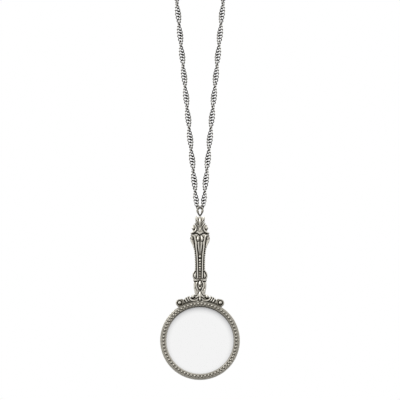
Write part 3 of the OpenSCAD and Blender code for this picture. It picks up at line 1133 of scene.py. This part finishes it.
    def rosettes(self) -> list[bpy.types.Object]:
        """Builds the disc, ring and ball of each rosette.

        Returns:
            The discs, rings and balls.
        """
        made = []
        x, seen = self.rosette
        z = real_height(seen, self.crest_face + self.rosette_out)
        front = self.crest_face - self.rosette_step
        standing = (QUARTER_TURN, 0, 0)
        for side in (-1, 1):
            deselect()
            bpy.ops.mesh.primitive_cylinder_add(
                vertices=self.rosette_sides[0], radius=self.rosette_ring + self.rosette_step,
                depth=self.back + front, location=(side * x, (self.back - front) / 2, z),
                rotation=standing,
            )
            made.append(applied())
            made.append(
                hoop(self.rosette_ring, self.rosette_wire, self.rosette_sides,
                     (side * x, -self.crest_face, z), standing)
            )
            out = self.crest_face + self.rosette_lift
            made.append(ball(side * x, -out, z, self.rosette_ball))
        return made

    def eye(self) -> bpy.types.Object:
        """Turns the ring that the bail passes through.

        Returns:
            The ring.
        """
        upright = (0, QUARTER_TURN, 0)
        middle = (0, 0, -self.eye_drop)
        return hoop(self.eye_radius, self.eye_wire, self.eye_sides, middle, upright)

    def carve(self, handle: bpy.types.Object) -> np.ndarray:
        """Sinks the grooves into the front.

        Args:
            handle: the fused casting, on the bench.

        Returns:
            For each vertex how much its groove darkens it: oxide, and painted shadow under the balls.
        """
        place = corners(handle)
        front = np.clip(-2 * normals(handle)[:, 1], 0, 1)
        spot = np.stack((np.abs(place[:, 0]), seen_height(place)), 1)
        sunk = np.zeros(len(place))
        dark = np.zeros(len(place))
        for groove in self.grooves:
            line = smooth_line(groove.points)
            inside = (spot > line.min(0) - groove.width) & (spot < line.max(0) + groove.width)
            near = np.flatnonzero(inside.all(1) & (front > 0))
            away = np.full(len(near), np.inf)
            for start, run in zip(line[:-1], np.diff(line, axis=0)):
                step = spot[near] - start
                share = np.clip((step @ run) / (run @ run), 0, 1)
                away = np.minimum(away, np.linalg.norm(step - share[:, None] * run, axis=1))
            shape = np.clip(1 - away / groove.width, 0, 1)
            shape = shape * shape * (3 - 2 * shape)
            sunk[near] = np.maximum(sunk[near], groove.depth * shape * front[near])
            dark[near] = np.maximum(dark[near], groove.dark * shape)
        place[:, 1] += sunk
        move_corners(handle, place)
        return dark

    def rubbed(self, handle: bpy.types.Object) -> np.ndarray:
        """How much brighter each vertex is made by height, with painted highlights and shade on and
        round the balls, darker round the rosettes and along the crest's line on the rim.

        Args:
            handle: the fused casting, on the bench.

        Returns:
            The extra brightness of each vertex.
        """
        place = corners(handle)
        across = np.abs(place[:, 0])
        seen = seen_height(place)
        heights, more = zip(*self.brightening)
        extra = np.interp(-seen, [-height for height in heights], more)
        # Painted highlight on each ball's top, with oxide and painted shade in the ring round it
        for bead in self.beads:
            away = np.hypot(across - bead.x, seen - bead.seen) / bead.radius
            top = np.clip(self.ball_highlight * (1 - away), 0, 1)
            extra += bead.brightening * (top - self.ball_ring_oxide_and_shade * hump(away - 1, self.ball_ring))
        (side, side_fade), (clear, clear_fade) = self.rosette_side, self.rosette_clear
        aside = np.hypot(across - self.rosette[0], seen - self.rosette[1])
        near = np.clip((across - side) / side_fade, 0, 1)
        extra -= self.rosette_darkening * near * np.clip((aside - clear) / clear_fade, 0, 1)
        above = from_axis(place, self.rim_centre) - self.rim_radius
        line, line_width = self.rim_line
        return extra - self.rim_line_oxide * hump(above - line, line_width)

    def build(self) -> bpy.types.Object:
        """Fuses all the pieces of the casting, smooths them and carves the grooves.

        Returns:
            The handle.
        """
        parts = self.plates() + self.balls() + self.rosettes() + [self.eye()]
        squeeze = Matrix.Diagonal((1, self.flatness, 1, 1))
        for strokes, face in ((self.strokes, self.face), (self.crest_strokes, self.crest_face)):
            relief = wires([run for stroke in strokes for run in self.tube(stroke, face)])
            shift = Matrix.Translation((0, -face, 0))
            relief.data.transform(shift @ squeeze @ shift.inverted())
            parts.append(relief)
        handle = join(parts, "cast_handle")
        modify(handle, "REMESH", mode="VOXEL", voxel_size=self.voxel)
        modify(handle, "SMOOTH", factor=0.5, iterations=2)
        dark = self.carve(handle)
        proud = relief_wear(handle, self.proud_rounds, self.proud_span)
        # Tone: oxide and polish of the relief, with painted shade on the side walls, in the grooves
        # and over the eye, and painted highlights on the balls
        wear_and_shade = proud * flank_shade(handle, self.wall_lit_share) - self.groove_oxide_and_shade * dark
        wear_and_shade += self.rubbed(handle)
        # Painted shadow over the eye, where the bail passes through it
        foot, fade = self.eye_side
        wear_and_shade -= self.eye_shade * np.clip((corners(handle)[:, 2] - foot) / fade, 0, 1)
        set_wear_and_shade(handle, wear_and_shade)
        ratio = self.most_triangles / (2 * len(handle.data.polygons))
        modify(handle, "DECIMATE", ratio=min(1.0, ratio))
        settle(handle, PIVOT_Z)
        return handle


# The rim, the beaded ring and the lens


@dataclass
class LensRim:
    """The round rim with its double outer band and the wall round the lens."""

    centre: float = LENS_Z
    outer: float = RIM_RADIUS
    seat: float = 21.15
    seat_floor: float = 0.95
    wall: float = 19.9
    opening: float = OPENING_RADIUS
    opening_round: float = 0.42
    half_depth: float = 2.3
    # The back's width as a share of the front's
    back_band: float = 0.5
    lip_front: float = -0.99
    scallops: int = BEAD_COUNT
    scallop_depth: float = 0.12
    steps: int = 396
    # Section of the front: steps out from the seat, then in from the outer edge, each with its drop
    inner_band: Pairs = (
        (0.0, 0.25), (0.06, 0.05), (0.2, 0.0), (0.36, 0.08), (0.48, 0.34), (0.56, 0.38),
        (0.66, 0.22),
    )
    outer_band: Pairs = (
        (0.2, 0.2), (0.06, 0.35), (0.0, 0.62), (0.05, 0.95), (0.22, 1.25), (0.42, 1.45),
        (0.45, 1.7), (0.28, 1.95),
    )
    # Places and widths, out from the seat, of the scalloped ridge and the groove beside it
    ridge: tuple[float, float] = (0.1, 0.16)
    groove: tuple[float, float] = (0.54, 0.09)
    # The ridge is scalloped only this far out of the front or further
    ridge_out: float = 1.0
    # Polish, and what the groove's and the dips' oxide and shade, the inner wall's painted shade and
    # the crest's painted shadow take off it
    polish: float = 0.78
    groove_oxide_and_shade: float = 0.5
    inner_wall_shade: float = 0.26
    dip_oxide_and_shade: float = 0.3
    crest_shadow: float = 0.45
    # The crest's painted shadow lies on the band from this radius on and up to this angle from the
    # top
    crest_from: float = 0.3
    crest_angle: float = 0.62
    # How steeply the tones of the inner wall, the band and the crest's painted shadow set in
    steepness: Spot = (4.0, 5.0, 6.0)
    wall_lit_share: float = 0.7

    def profile(self) -> Pairs:
        """Draws the section of the rim.

        Returns:
            Its corners: radius and height out of the front.
        """
        top = self.half_depth
        half = [(self.seat + step, top - drop) for step, drop in self.inner_band]
        half += [(self.outer - step, top - drop) for step, drop in self.outer_band]
        back = [(self.seat + (r - self.seat) * self.back_band, -h) for r, h in reversed(half)]
        inside = [
            (self.opening, -top + self.opening_round),
            (self.opening, self.lip_front),
            (self.wall, self.lip_front),
            (self.wall, self.seat_floor),
            (self.seat, self.seat_floor),
        ]
        return tuple(half + back + inside)

    def build(self) -> bpy.types.Object:
        """Turns the rim and paints its tone: polish and oxide, with painted shade on the inner wall
        and the crest's painted shadow.

        Returns:
            The rim.
        """
        rim = lathe(self.profile(), self.steps, self.centre)
        rim.name = "lens_rim"
        place = corners(rim)
        radius = from_axis(place, self.centre)
        angle = np.arctan2(place[:, 0], place[:, 2] - self.centre)
        ridge_at, ridge_width = self.ridge
        ridge = hump(radius - self.seat - ridge_at, ridge_width)
        ridge *= place[:, 1] < -self.ridge_out
        dip = (0.5 + 0.5 * np.cos(self.scallops * angle)) * ridge
        place[:, 1] += self.scallop_depth * dip
        move_corners(rim, place)
        groove_at, groove_width = self.groove
        groove = hump(radius - self.seat - groove_at, groove_width)
        wall_rate, band_rate, crest_rate = self.steepness
        inner = np.clip((self.seat - radius) * wall_rate, 0, 1)
        band = np.clip((radius - self.seat - self.crest_from) * band_rate, 0, 1)
        under_crest = np.clip((self.crest_angle - np.abs(angle)) * crest_rate, 0, 1) * band
        # Painted shade on the inner wall and painted shadow under the crest, with oxide and shade in
        # the groove and dips
        wear_and_shade = self.polish - self.groove_oxide_and_shade * groove - self.inner_wall_shade * inner
        wear_and_shade = wear_and_shade - self.dip_oxide_and_shade * dip - self.crest_shadow * under_crest
        set_wear_and_shade(rim, wear_and_shade * flank_shade(rim, self.wall_lit_share))
        settle(rim, PIVOT_Z)
        return rim


@dataclass
class BeadedRing:
    """The ring that keeps the lens in, with its row of beads in a hollow."""

    centre: float = LENS_Z
    opening: float = OPENING_RADIUS
    flare: float = 0.6
    seat: float = 21.07
    back: float = 1.07
    front: float = 2.29
    row: float = 20.3
    bead: float = 0.69
    bead_sides: int = 12
    count: int = BEAD_COUNT
    steps_per_bead: int = 4
    # The hollow: steps out from the row of beads, each with its drop from the front
    hollow: Pairs = ((0.5, 0.3), (0.0, 0.42), (-0.5, 0.3), (-0.7, 0.12))
    # How far its edges are rounded, and how far the opening's chamfer goes back
    edge: float = 0.1
    chamfer: float = 0.3
    # Polish of the ring, its gain outside the row, and a bead's at its middle and to its front
    polish: float = 0.57
    outer_gain: float = 0.2
    bead_polish: float = 0.46
    bead_gain: float = 0.22

    def profile(self) -> Pairs:
        """Draws the section of the ring.

        Returns:
            Its corners: radius and height out of the front.
        """
        lip = self.opening + self.flare
        lip_drop = self.hollow[-1][1]
        outside = [
            (self.opening, self.back), (self.seat, self.back), (self.seat, self.front - self.edge),
            (self.seat - self.edge, self.front),
        ]
        inside = [
            (lip, self.front - lip_drop), (lip - lip_drop, self.front - self.chamfer),
            (self.opening + self.edge, self.back + self.chamfer),
        ]
        hollow = [(self.row + step, self.front - drop) for step, drop in self.hollow]
        return tuple(outside + hollow + inside)

    def build(self) -> bpy.types.Object:
        """Turns the ring and sets the beads.

        Returns:
            The ring with its beads.
        """
        ring = lathe(self.profile(), self.count * self.steps_per_bead, self.centre)
        outside = np.maximum(from_axis(corners(ring), self.centre) - self.row, 0)
        set_wear_and_shade(ring, self.polish + outside * self.outer_gain)
        bead = ball(0, 0, 0, self.bead, self.bead_sides)
        set_wear_and_shade(bead, self.bead_polish - self.bead_gain * corners(bead)[:, 1] / self.bead)
        parts = [ring]
        for i in range(self.count):
            angle = FULL_TURN * (i + 0.5) / self.count
            across, up = self.row * math.sin(angle), self.row * math.cos(angle)
            spot = Matrix.Translation((across, -self.front, self.centre + up))
            parts.append(copied(bead, spot))
        bpy.data.objects.remove(bead)
        made = join(parts, "beaded_ring")
        settle(made, PIVOT_Z)
        return made


@dataclass
class Lens:
    """The biconvex lens: its edge's thickness, and the rise of each face over it."""

    centre: float = LENS_Z
    radius: float = 19.8
    edge: float = 1.5
    rise: float = 1.5
    rings: int = 14
    steps: int = 96

    def build(self) -> bpy.types.Object:
        """Turns the lens from its two curved faces.

        Returns:
            The lens.
        """
        curve_r = (self.radius**2 + self.rise**2) / (2 * self.rise)
        shift = self.edge / 2 + self.rise - curve_r
        radii = [self.radius * (i / self.rings) for i in range(self.rings + 1)]
        face = [(r, shift + math.sqrt(curve_r**2 - r**2)) for r in radii]
        section = tuple(face + [(r, -h) for r, h in reversed(face)])
        lens = lathe(section, self.steps, self.centre)
        lens.name = "lens_glass"
        settle(lens, PIVOT_Z)
        return lens


# The chain, the bail and the clasp


@dataclass(frozen=True)
class Route:
    """The line that a strand follows: a straight run, then an arc round the nape.

    Top is where the run ends and up its direction. The arc starts there, turn past its own top.
    """

    top: Vector
    up: Vector
    turn: float
    radius: float
    middle_z: float

    def on_arc(self, angle: float) -> Vector:
        """The arc's spot at an angle from its top."""
        across, up = self.radius * math.sin(angle), self.radius * math.cos(angle)
        return Vector((across, 0, self.middle_z + up))

    def at(self, along: float) -> tuple[Vector, Vector]:
        """Finds a spot on the line.

        Args:
            along: how far past the arc's start it lies, which is below zero on the run.

        Returns:
            The spot and the line's direction there.
        """
        if along < 0:
            return self.top + self.up * along, self.up
        angle = self.turn - along / self.radius
        return self.on_arc(angle), Vector((-math.cos(angle), 0, math.sin(angle)))


@dataclass
class TwistedStrand:
    """One strand of the twisted chain, from the bail to the clasp.

    Side is 1 for the strand on +x and -1 for its mirror image.
    """

    side: int
    # A link's wire, its length along the strand and its width
    wire: float = 0.58
    link_long: float = 2.76
    link_wide: float = 3.65
    link_sides: tuple[int, int] = (16, 6)
    # Length in which the strand makes half a turn, and how far a link's ends are twisted
    half_twist: float = 12.18
    link_turn: float = 33.0
    pitch: float = 1.6
    squash: float = 0.9
    slant: float = 0.42
    phase: float = 67.0
    # Widths of the links next to the end ring, as shares
    first_sizes: tuple[float, ...] = (0.66, 0.82)
    # Tone of a link in the middle, and its gain towards the strand's outside: painted shade inside
    # the strand, painted light on its outside
    inner_tone: float = 0.04
    outward_light: float = 1.0
    # Diameter of the solid strand, whose outer edge gives the arc's place, and its slope
    envelope: float = 2.4
    slope: float = 5.44
    # The round end links, and how clear of them the next link's wire lies
    end_radius: float = 1.15
    end_wire: float = 0.29
    end_sides: tuple[int, int] = (28, 10)
    end_polish: float = 0.5
    clearance: float = 0.03
    # Place of the bail's end link over the hinge and its turns, and of the clasp's past its ring
    bail_link: tuple[float, float] = (1.133, 4.766)
    bail_lean: float = 26.0
    bail_turn: float = 40.0
    clasp_ring_x: float = CLASP_RING_X
    clasp_link_out: float = 2.15
    clasp_z: float = 0.6

    def one_link(self) -> bpy.types.Object:
        """Bends one link: a ring drawn out sideways, with its ends twisted against each other.

        Returns:
            The link, with its tone: painted shade inside, painted light outside.
        """
        link = hoop((self.link_long - self.wire) / 2, self.wire / 2, self.link_sides)
        stretch = (self.link_wide - self.link_long) / 2
        for corner in link.data.vertices:
            corner.co.y += math.copysign(min(stretch, abs(corner.co.y)), corner.co.y)
        modify(
            link, "SIMPLE_DEFORM", deform_method="TWIST", deform_axis="X",
            angle=self.side * math.radians(2 * self.link_turn),
        )
        link.data.transform(Matrix.Diagonal((1, 1, self.squash, 1)))
        # Faces turned into the strand are darker and faces turned out brighter: painted shade and
        # painted light
        across = corners(link) * (0, 1, 1)
        outward = (normals(link) * across).sum(1) / (self.link_wide / 2)
        set_wear_and_shade(link, self.inner_tone + self.outward_light * outward)
        return link

    def end_link(self, centre: Vector, turn: Matrix) -> bpy.types.Object:
        """Adds a round end link.

        Args:
            centre: its middle, on the strand of side 1.
            turn: how it is turned there from lying flat.

        Returns:
            The link, on its own side.
        """
        made = hoop(self.end_radius, self.end_wire, self.end_sides)
        mirror = self.mirror()
        place = Matrix.Translation(mirror @ centre) @ (mirror @ turn @ mirror)
        made.data.transform(place)
        set_wear_and_shade(made, np.full(len(made.data.vertices), self.end_polish))
        return made

    def mirror(self) -> Matrix:
        """Mirrors the strand of side 1 to this strand's side."""
        return Matrix.Diagonal((self.side, 1, 1, 1))

    def route(self) -> Route:
        """Finds the line that the strand follows, from the box of its solid.

        Returns:
            The line.
        """
        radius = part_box("chain_right")[1].x / MM - self.envelope / 2
        middle_z = self.clasp_z - radius
        slope = math.radians(self.slope)
        turn = QUARTER_TURN + slope
        top = Vector((radius * math.sin(turn), 0, middle_z + radius * math.cos(turn)))
        return Route(top, Vector((math.sin(slope), 0, math.cos(slope))), turn, radius, middle_z)

    def links(self, route: Route, first: float, last: float) -> list[bpy.types.Object]:
        """Lays the links along the line, each turned a little further than the one before.

        Args:
            route: the strand's line.
            first: place of the first link along it.
            last: place of the last link.

        Returns:
            The links.
        """
        count = round((last - first) / self.pitch) + 1
        pitch = (last - first) / (count - 1)
        shear = Matrix.Identity(4)
        shear[0][2] = -self.slant
        mirror = self.mirror()
        link = self.one_link()
        made = []
        for i in range(count):
            along = first + pitch * i
            centre, forward = route.at(along)
            across = Vector((0, 1, 0))
            heading = Matrix((forward, across, forward.cross(across))).transposed().to_4x4()
            twist = math.radians(self.phase) + math.pi * (along - first) / self.half_twist
            place = (
                Matrix.Translation(centre) @ heading @ shear @ Matrix.Rotation(-twist, 4, "X")
            )
            if i < len(self.first_sizes):
                size = self.first_sizes[i]
                place = place @ Matrix.Diagonal((1, size, size, 1))
            made.append(copied(link, mirror @ place @ mirror))
        bpy.data.objects.remove(link)
        return made

    def build(self) -> bpy.types.Object:
        """Lays the links between the bail's end link and the clasp's.

        Returns:
            The strand.
        """
        route = self.route()
        lean = math.radians(self.bail_lean)
        bail = Vector((self.bail_link[0], 0, PIVOT_Z + self.bail_link[1]))
        bail_turn = (
            Matrix.Rotation(lean, 4, "Y")
            @ Matrix.Rotation(-math.radians(self.bail_turn), 4, "Z")
            @ Matrix.Rotation(QUARTER_TURN, 4, "Y")
        )
        end_top = bail + self.end_radius * Vector((math.sin(lean), 0, math.cos(lean)))
        hold = self.end_wire + self.wire / 2 + self.clearance
        reach = (self.link_long - self.wire) / 2
        first = (end_top - route.top).dot(route.up) - hold + reach
        clasp_x = self.clasp_ring_x + self.clasp_link_out + self.end_radius
        last = (route.turn - clasp_x / route.radius) * route.radius + hold - reach
        parts = self.links(route, first, last)
        parts.append(self.end_link(bail, bail_turn))
        drop = math.atan2(self.clasp_z - route.on_arc(clasp_x / route.radius).z, clasp_x)
        clasp_turn = Matrix.Rotation(drop, 4, "Y")
        ring_at = Vector((self.clasp_ring_x, 0, self.clasp_z))
        clasp = ring_at + clasp_turn @ Vector((self.clasp_link_out, 0, 0))
        parts.append(self.end_link(clasp, clasp_turn))
        strand = join(parts, "twisted_strand_right" if self.side > 0 else "twisted_strand_left")
        outwards(strand)
        settle(strand, 0)
        return strand


@dataclass
class Bail:
    """The narrow ring that joins the handle's eye to the strands."""

    # Its lower and upper bow and the way between their middles
    low_radius: float = 0.8
    top_radius: float = 1.5
    length: float = 2.4
    bow_steps: tuple[int, int] = (12, 16)
    leg_steps: int = 8
    # The wire's radius at the least, and what is added to it at each height
    wire: float = 0.26
    swell: Pairs = (
        (0.0, 0.06), (0.6, 0.04), (1.4, 0.26), (2.3, 0.44), (3.0, 0.34), (3.7, 0.12), (4.8, 0.1),
    )
    flatness: float = 0.8
    # Tone: its gain with height over the lowest wire, whose darkness is painted shade, and its most
    tone_gain: float = 0.45
    shade_to: float = 0.4
    most_tone: float = 0.5

    def build(self) -> bpy.types.Object:
        """Bends the ring from its two bows.

        Returns:
            The ring.
        """
        lean = math.degrees(math.asin((self.top_radius - self.low_radius) / self.length))
        low_steps, top_steps = self.bow_steps
        low = arc(0, self.low_radius, self.low_radius, 180 + lean, 180 - 2 * lean, low_steps)
        top_z = self.low_radius + self.length
        top = arc(0, top_z, self.top_radius, -lean, 180 + 2 * lean, top_steps)
        legs = [low[-1].lerp(top[0], k / self.leg_steps) for k in range(1, self.leg_steps)]
        mirrored = [Vector((-p.x, p.y, p.z)) for p in reversed(legs)]
        heights, more = zip(*self.swell)
        loop = [
            (point, self.wire + float(np.interp(point.z, heights, more)))
            for point in low + legs + top + mirrored
        ]
        made = wires([loop], closed=True, sides=3, steps=2)
        made.data.transform(Matrix.Diagonal((1, self.flatness, 1, 1)))
        made.name = "bail_loop"
        # The lowest wire is darkened as painted shade
        rise = corners(made)[:, 2] - self.shade_to
        set_wear_and_shade(made, np.clip(self.tone_gain * rise, 0.0, self.most_tone))
        settle(made, PIVOT_Z)
        return made


@dataclass
class Clasp:
    """The plain closed clasp at the nape, with the jump ring at each end."""

    length: float = 11.0
    width: float = 5.4
    thick: float = 1.2
    # Radius of its eye, the wall round its openings and the rounding of its edges
    eye: float = 1.0
    wall: float = 0.95
    edge: float = 0.3
    # The hollow's narrow end as a share of the eye
    tail: float = 0.9
    ring_radius: float = 1.6
    ring_wire: float = 0.32
    ring_x: float = CLASP_RING_X
    # Width of a jump ring's cut, in degrees
    cut: float = 3.0
    polish: float = 0.62
    # Steps round the hook, the eye's end, the eye and a jump ring
    hook_steps: int = 24
    end_steps: int = 20
    eye_steps: int = 28
    ring_steps: int = 36

    def pod(self, x1: float, r1: float, x2: float, r2: float) -> list[tuple[float, float]]:
        """Outline round two circles, as a closed list of points.

        Args:
            x1: the first circle's middle.
            r1: its radius.
            x2: the second circle's middle.
            r2: its radius.

        Returns:
            The points.
        """
        half = 180 - math.degrees(math.acos((r2 - r1) / (x2 - x1)))
        hook = arc(x2, 0, r2, -half, 2 * half, self.hook_steps)
        end = arc(x1, 0, r1, half, 360 - 2 * half, self.end_steps)
        return [(p.x, p.z) for p in hook + end]

    def body(self) -> bpy.types.Object:
        """Cuts the clasp with its eye and its hollow, and rounds all its edges.

        Returns:
            The clasp.
        """
        hook_r = self.width / 2
        hook_x = self.length / 2 - hook_r
        eye_out = self.eye + self.wall
        eye_x = eye_out - self.length / 2
        tail_r = self.eye * self.tail
        tail_x = eye_x + 2 * eye_out + tail_r - self.wall
        eye_hole = [(p.x, p.z) for p in arc(eye_x, 0, self.eye, 0, 360, self.eye_steps)[:-1]]
        made = empty_curve("2D", self.edge, 3)
        curve = made.data
        curve.fill_mode = "BOTH"
        curve.extrude = self.thick / 2 - self.edge
        curve.offset = -self.edge
        for outline in (
            self.pod(eye_x, eye_out, hook_x, hook_r), eye_hole,
            self.pod(tail_x, tail_r, hook_x, hook_r - self.wall),
        ):
            spline = curve.splines.new("POLY")
            spline.points.add(len(outline) - 1)
            spline.use_cyclic_u = True
            for point, (x, y) in zip(spline.points, outline):
                point.co = (x, y, 0, 1)
        made.location = (0, 0, self.thick / 2)
        clasp = to_mesh(made)
        clasp.name = "clasp_body"
        outwards(clasp)
        return clasp

    def build(self) -> list[bpy.types.Object]:
        """Builds the clasp and its two jump rings, each cut open by a hair.

        Returns:
            The clasp, the left ring and the right ring.
        """
        made = [self.body()]
        for side, name in ((-1, "jump_ring_left"), (1, "jump_ring_right")):
            run = arc(side * self.ring_x, self.thick / 2, self.ring_radius, 90 + self.cut / 2,
                      360 - self.cut, self.ring_steps)
            ring = wires([[(p, self.ring_wire) for p in run]], sides=3, steps=1)
            ring.name = name
            made.append(ring)
        for piece in made:
            set_wear_and_shade(piece, np.full(len(piece.data.vertices), self.polish))
            settle(piece, 0)
        return made


# The set


@dataclass(frozen=True)
class Glow:
    """One soft bright patch of what the metal mirrors.

    Spread holds the cosines, from its middle, at which it begins and is full, and strength its
    value outside and in the middle.
    """

    towards: Spot
    spread: tuple[float, float]
    strength: tuple[float, float]

    def add(self, tree: bpy.types.NodeTree, way: bpy.types.NodeSocket) -> bpy.types.NodeSocket:
        """Adds the patch to the surroundings.

        Args:
            tree: the world's node tree.
            way: the direction looked in.

        Returns:
            The patch's strength.
        """
        facing = add_node(
            tree, "ShaderNodeVectorMath", {"operation": "DOT_PRODUCT"},
            {0: way, 1: Vector(self.towards).normalized()},
        )
        patch = add_node(
            tree, "ShaderNodeMapRange", {"interpolation_type": "SMOOTHSTEP"},
            {"Value": facing.outputs["Value"], "From Min": self.spread[0],
             "From Max": self.spread[1], "To Min": self.strength[0],
             "To Max": self.strength[1]},
        )
        return patch.outputs["Result"]


@dataclass
class Studio:
    """Camera, pale floor and soft light, in metres."""

    distance: float = 1.5
    frame_width: float = 0.225
    sensor: float = 36.0
    # How far above the hinge the camera aims, and below it the key light, in millimetres
    aim_above_pivot: float = 8.88
    key_below_pivot: float = 40.0
    floor_z: float = -1.6
    floor_size: float = 30.0
    key_place: Spot = (-0.75, -0.5, 0.35)
    key_size: float = 0.4
    key_watts: float = 3.0
    overhead: Glow = Glow((-0.5, -0.55, 0.67), (-0.5, 0.95), (0.16, 0.9))
    spill: Glow = Glow((0.75, 0.35, 0.56), (0.3, 1.0), (0.0, 0.7))

    def camera(self) -> None:
        """Sets the camera a little below the pendant, looking up at it."""
        target = Vector((0, 0, (PIVOT_Z + self.aim_above_pivot) * MM))
        back = Vector((0, -math.cos(CAMERA_TILT), math.sin(CAMERA_TILT)))
        bpy.ops.object.camera_add(location=target + back * self.distance)
        camera = bpy.context.view_layer.objects.active
        camera.rotation_euler = (-back).to_track_quat("-Z", "Y").to_euler()
        camera.data.sensor_width = self.sensor
        camera.data.lens = self.sensor * self.distance / self.frame_width
        camera.data.clip_start = 0.05
        camera.data.clip_end = 100
        bpy.context.scene.camera = camera

    def floor(self) -> None:
        """Lays the pale floor well below the hanging piece."""
        deselect()
        bpy.ops.mesh.primitive_grid_add(
            x_subdivisions=4, y_subdivisions=4, size=self.floor_size, location=(0, 0, self.floor_z)
        )
        floor = bpy.context.view_layer.objects.active
        floor.name = "floor"
        floor.data.materials.append(PaleFloor().material())
        floor.visible_glossy = False

    def key(self) -> None:
        """Hangs the square softbox that faces the pendant."""
        place = Vector(self.key_place)
        bpy.ops.object.light_add(type="AREA", location=place)
        lamp = bpy.context.view_layer.objects.active
        lamp.name = "key"
        lamp.data.size = self.key_size
        lamp.data.energy = self.key_watts
        aim = Vector((0, 0, (PIVOT_Z - self.key_below_pivot) * MM)) - place
        lamp.rotation_euler = aim.to_track_quat("-Z", "Y").to_euler()

    def world(self) -> None:
        """Paints the surroundings: white behind, and a soft gradient in what the metal mirrors."""
        world = bpy.data.worlds.new("studio")
        world.use_nodes = True
        bpy.context.scene.world = world
        tree = world.node_tree
        tree.nodes.clear()
        way = add_node(tree, "ShaderNodeTexCoord").outputs["Generated"]
        bright = add_node(
            tree, "ShaderNodeMath", {"operation": "ADD"},
            {0: self.overhead.add(tree, way), 1: self.spill.add(tree, way)},
        )
        path = add_node(tree, "ShaderNodeLightPath")
        mirrored = add_node(
            tree, "ShaderNodeMath", {"operation": "SUBTRACT", "use_clamp": True},
            {0: path.outputs["Is Glossy Ray"], 1: path.outputs["Is Transmission Ray"]},
        )
        strength = add_node(
            tree, "ShaderNodeMix", {"data_type": "FLOAT"},
            {0: mirrored.outputs[0], 2: 1.0, 3: bright.outputs[0]},
        )
        back = add_node(
            tree, "ShaderNodeBackground", None,
            {"Color": (1, 1, 1, 1), "Strength": strength.outputs[0]},
        )
        add_node(tree, "ShaderNodeOutputWorld", None, {"Surface": back.outputs[0]})

    def build(self) -> None:
        """Sets the stage."""
        self.camera()
        self.floor()
        self.world()
        self.key()
        bpy.context.scene.view_settings.view_transform = "Standard"


def main() -> None:
    """Builds the studio and the pieces in order, and dresses them."""
    logging.basicConfig(level=logging.INFO, format="%(name)s: %(message)s")
    Studio().build()
    cast = AntiqueSilver("cast_antique_silver").material()
    wire = AntiqueSilver(
        "drawn_antique_silver", hollow="#34312a", flank="#99958a", crown="#f3f0e7",
        reach_mm=0.8, recess_oxide_and_shade=0.8,
    ).material()
    glass = CrownGlass().material()
    finish_piece(CastHandle().build(), Body.MAGNIFIER, Slot.CAST, cast, "magnifier_frame")
    finish_piece(LensRim().build(), Body.MAGNIFIER, Slot.CAST, cast, "magnifier_frame")
    finish_piece(BeadedRing().build(), Body.MAGNIFIER, Slot.CAST, cast, "bezel_ring")
    finish_piece(Lens().build(), Body.MAGNIFIER, Slot.GLASS, glass, "lens")
    finish_piece(TwistedStrand(1).build(), Body.NECKLACE, Slot.WIRE, wire, "chain_right")
    finish_piece(TwistedStrand(-1).build(), Body.NECKLACE, Slot.WIRE, wire, "chain_left")
    finish_piece(Bail().build(), Body.NECKLACE, Slot.WIRE, wire, "bail_ring")
    nodes = ("clasp", "clasp_ring_left", "clasp_ring_right")
    for piece, node in zip(Clasp().build(), nodes):
        finish_piece(piece, Body.NECKLACE, Slot.WIRE, wire, node)


if __name__ == "__main__":
    main()
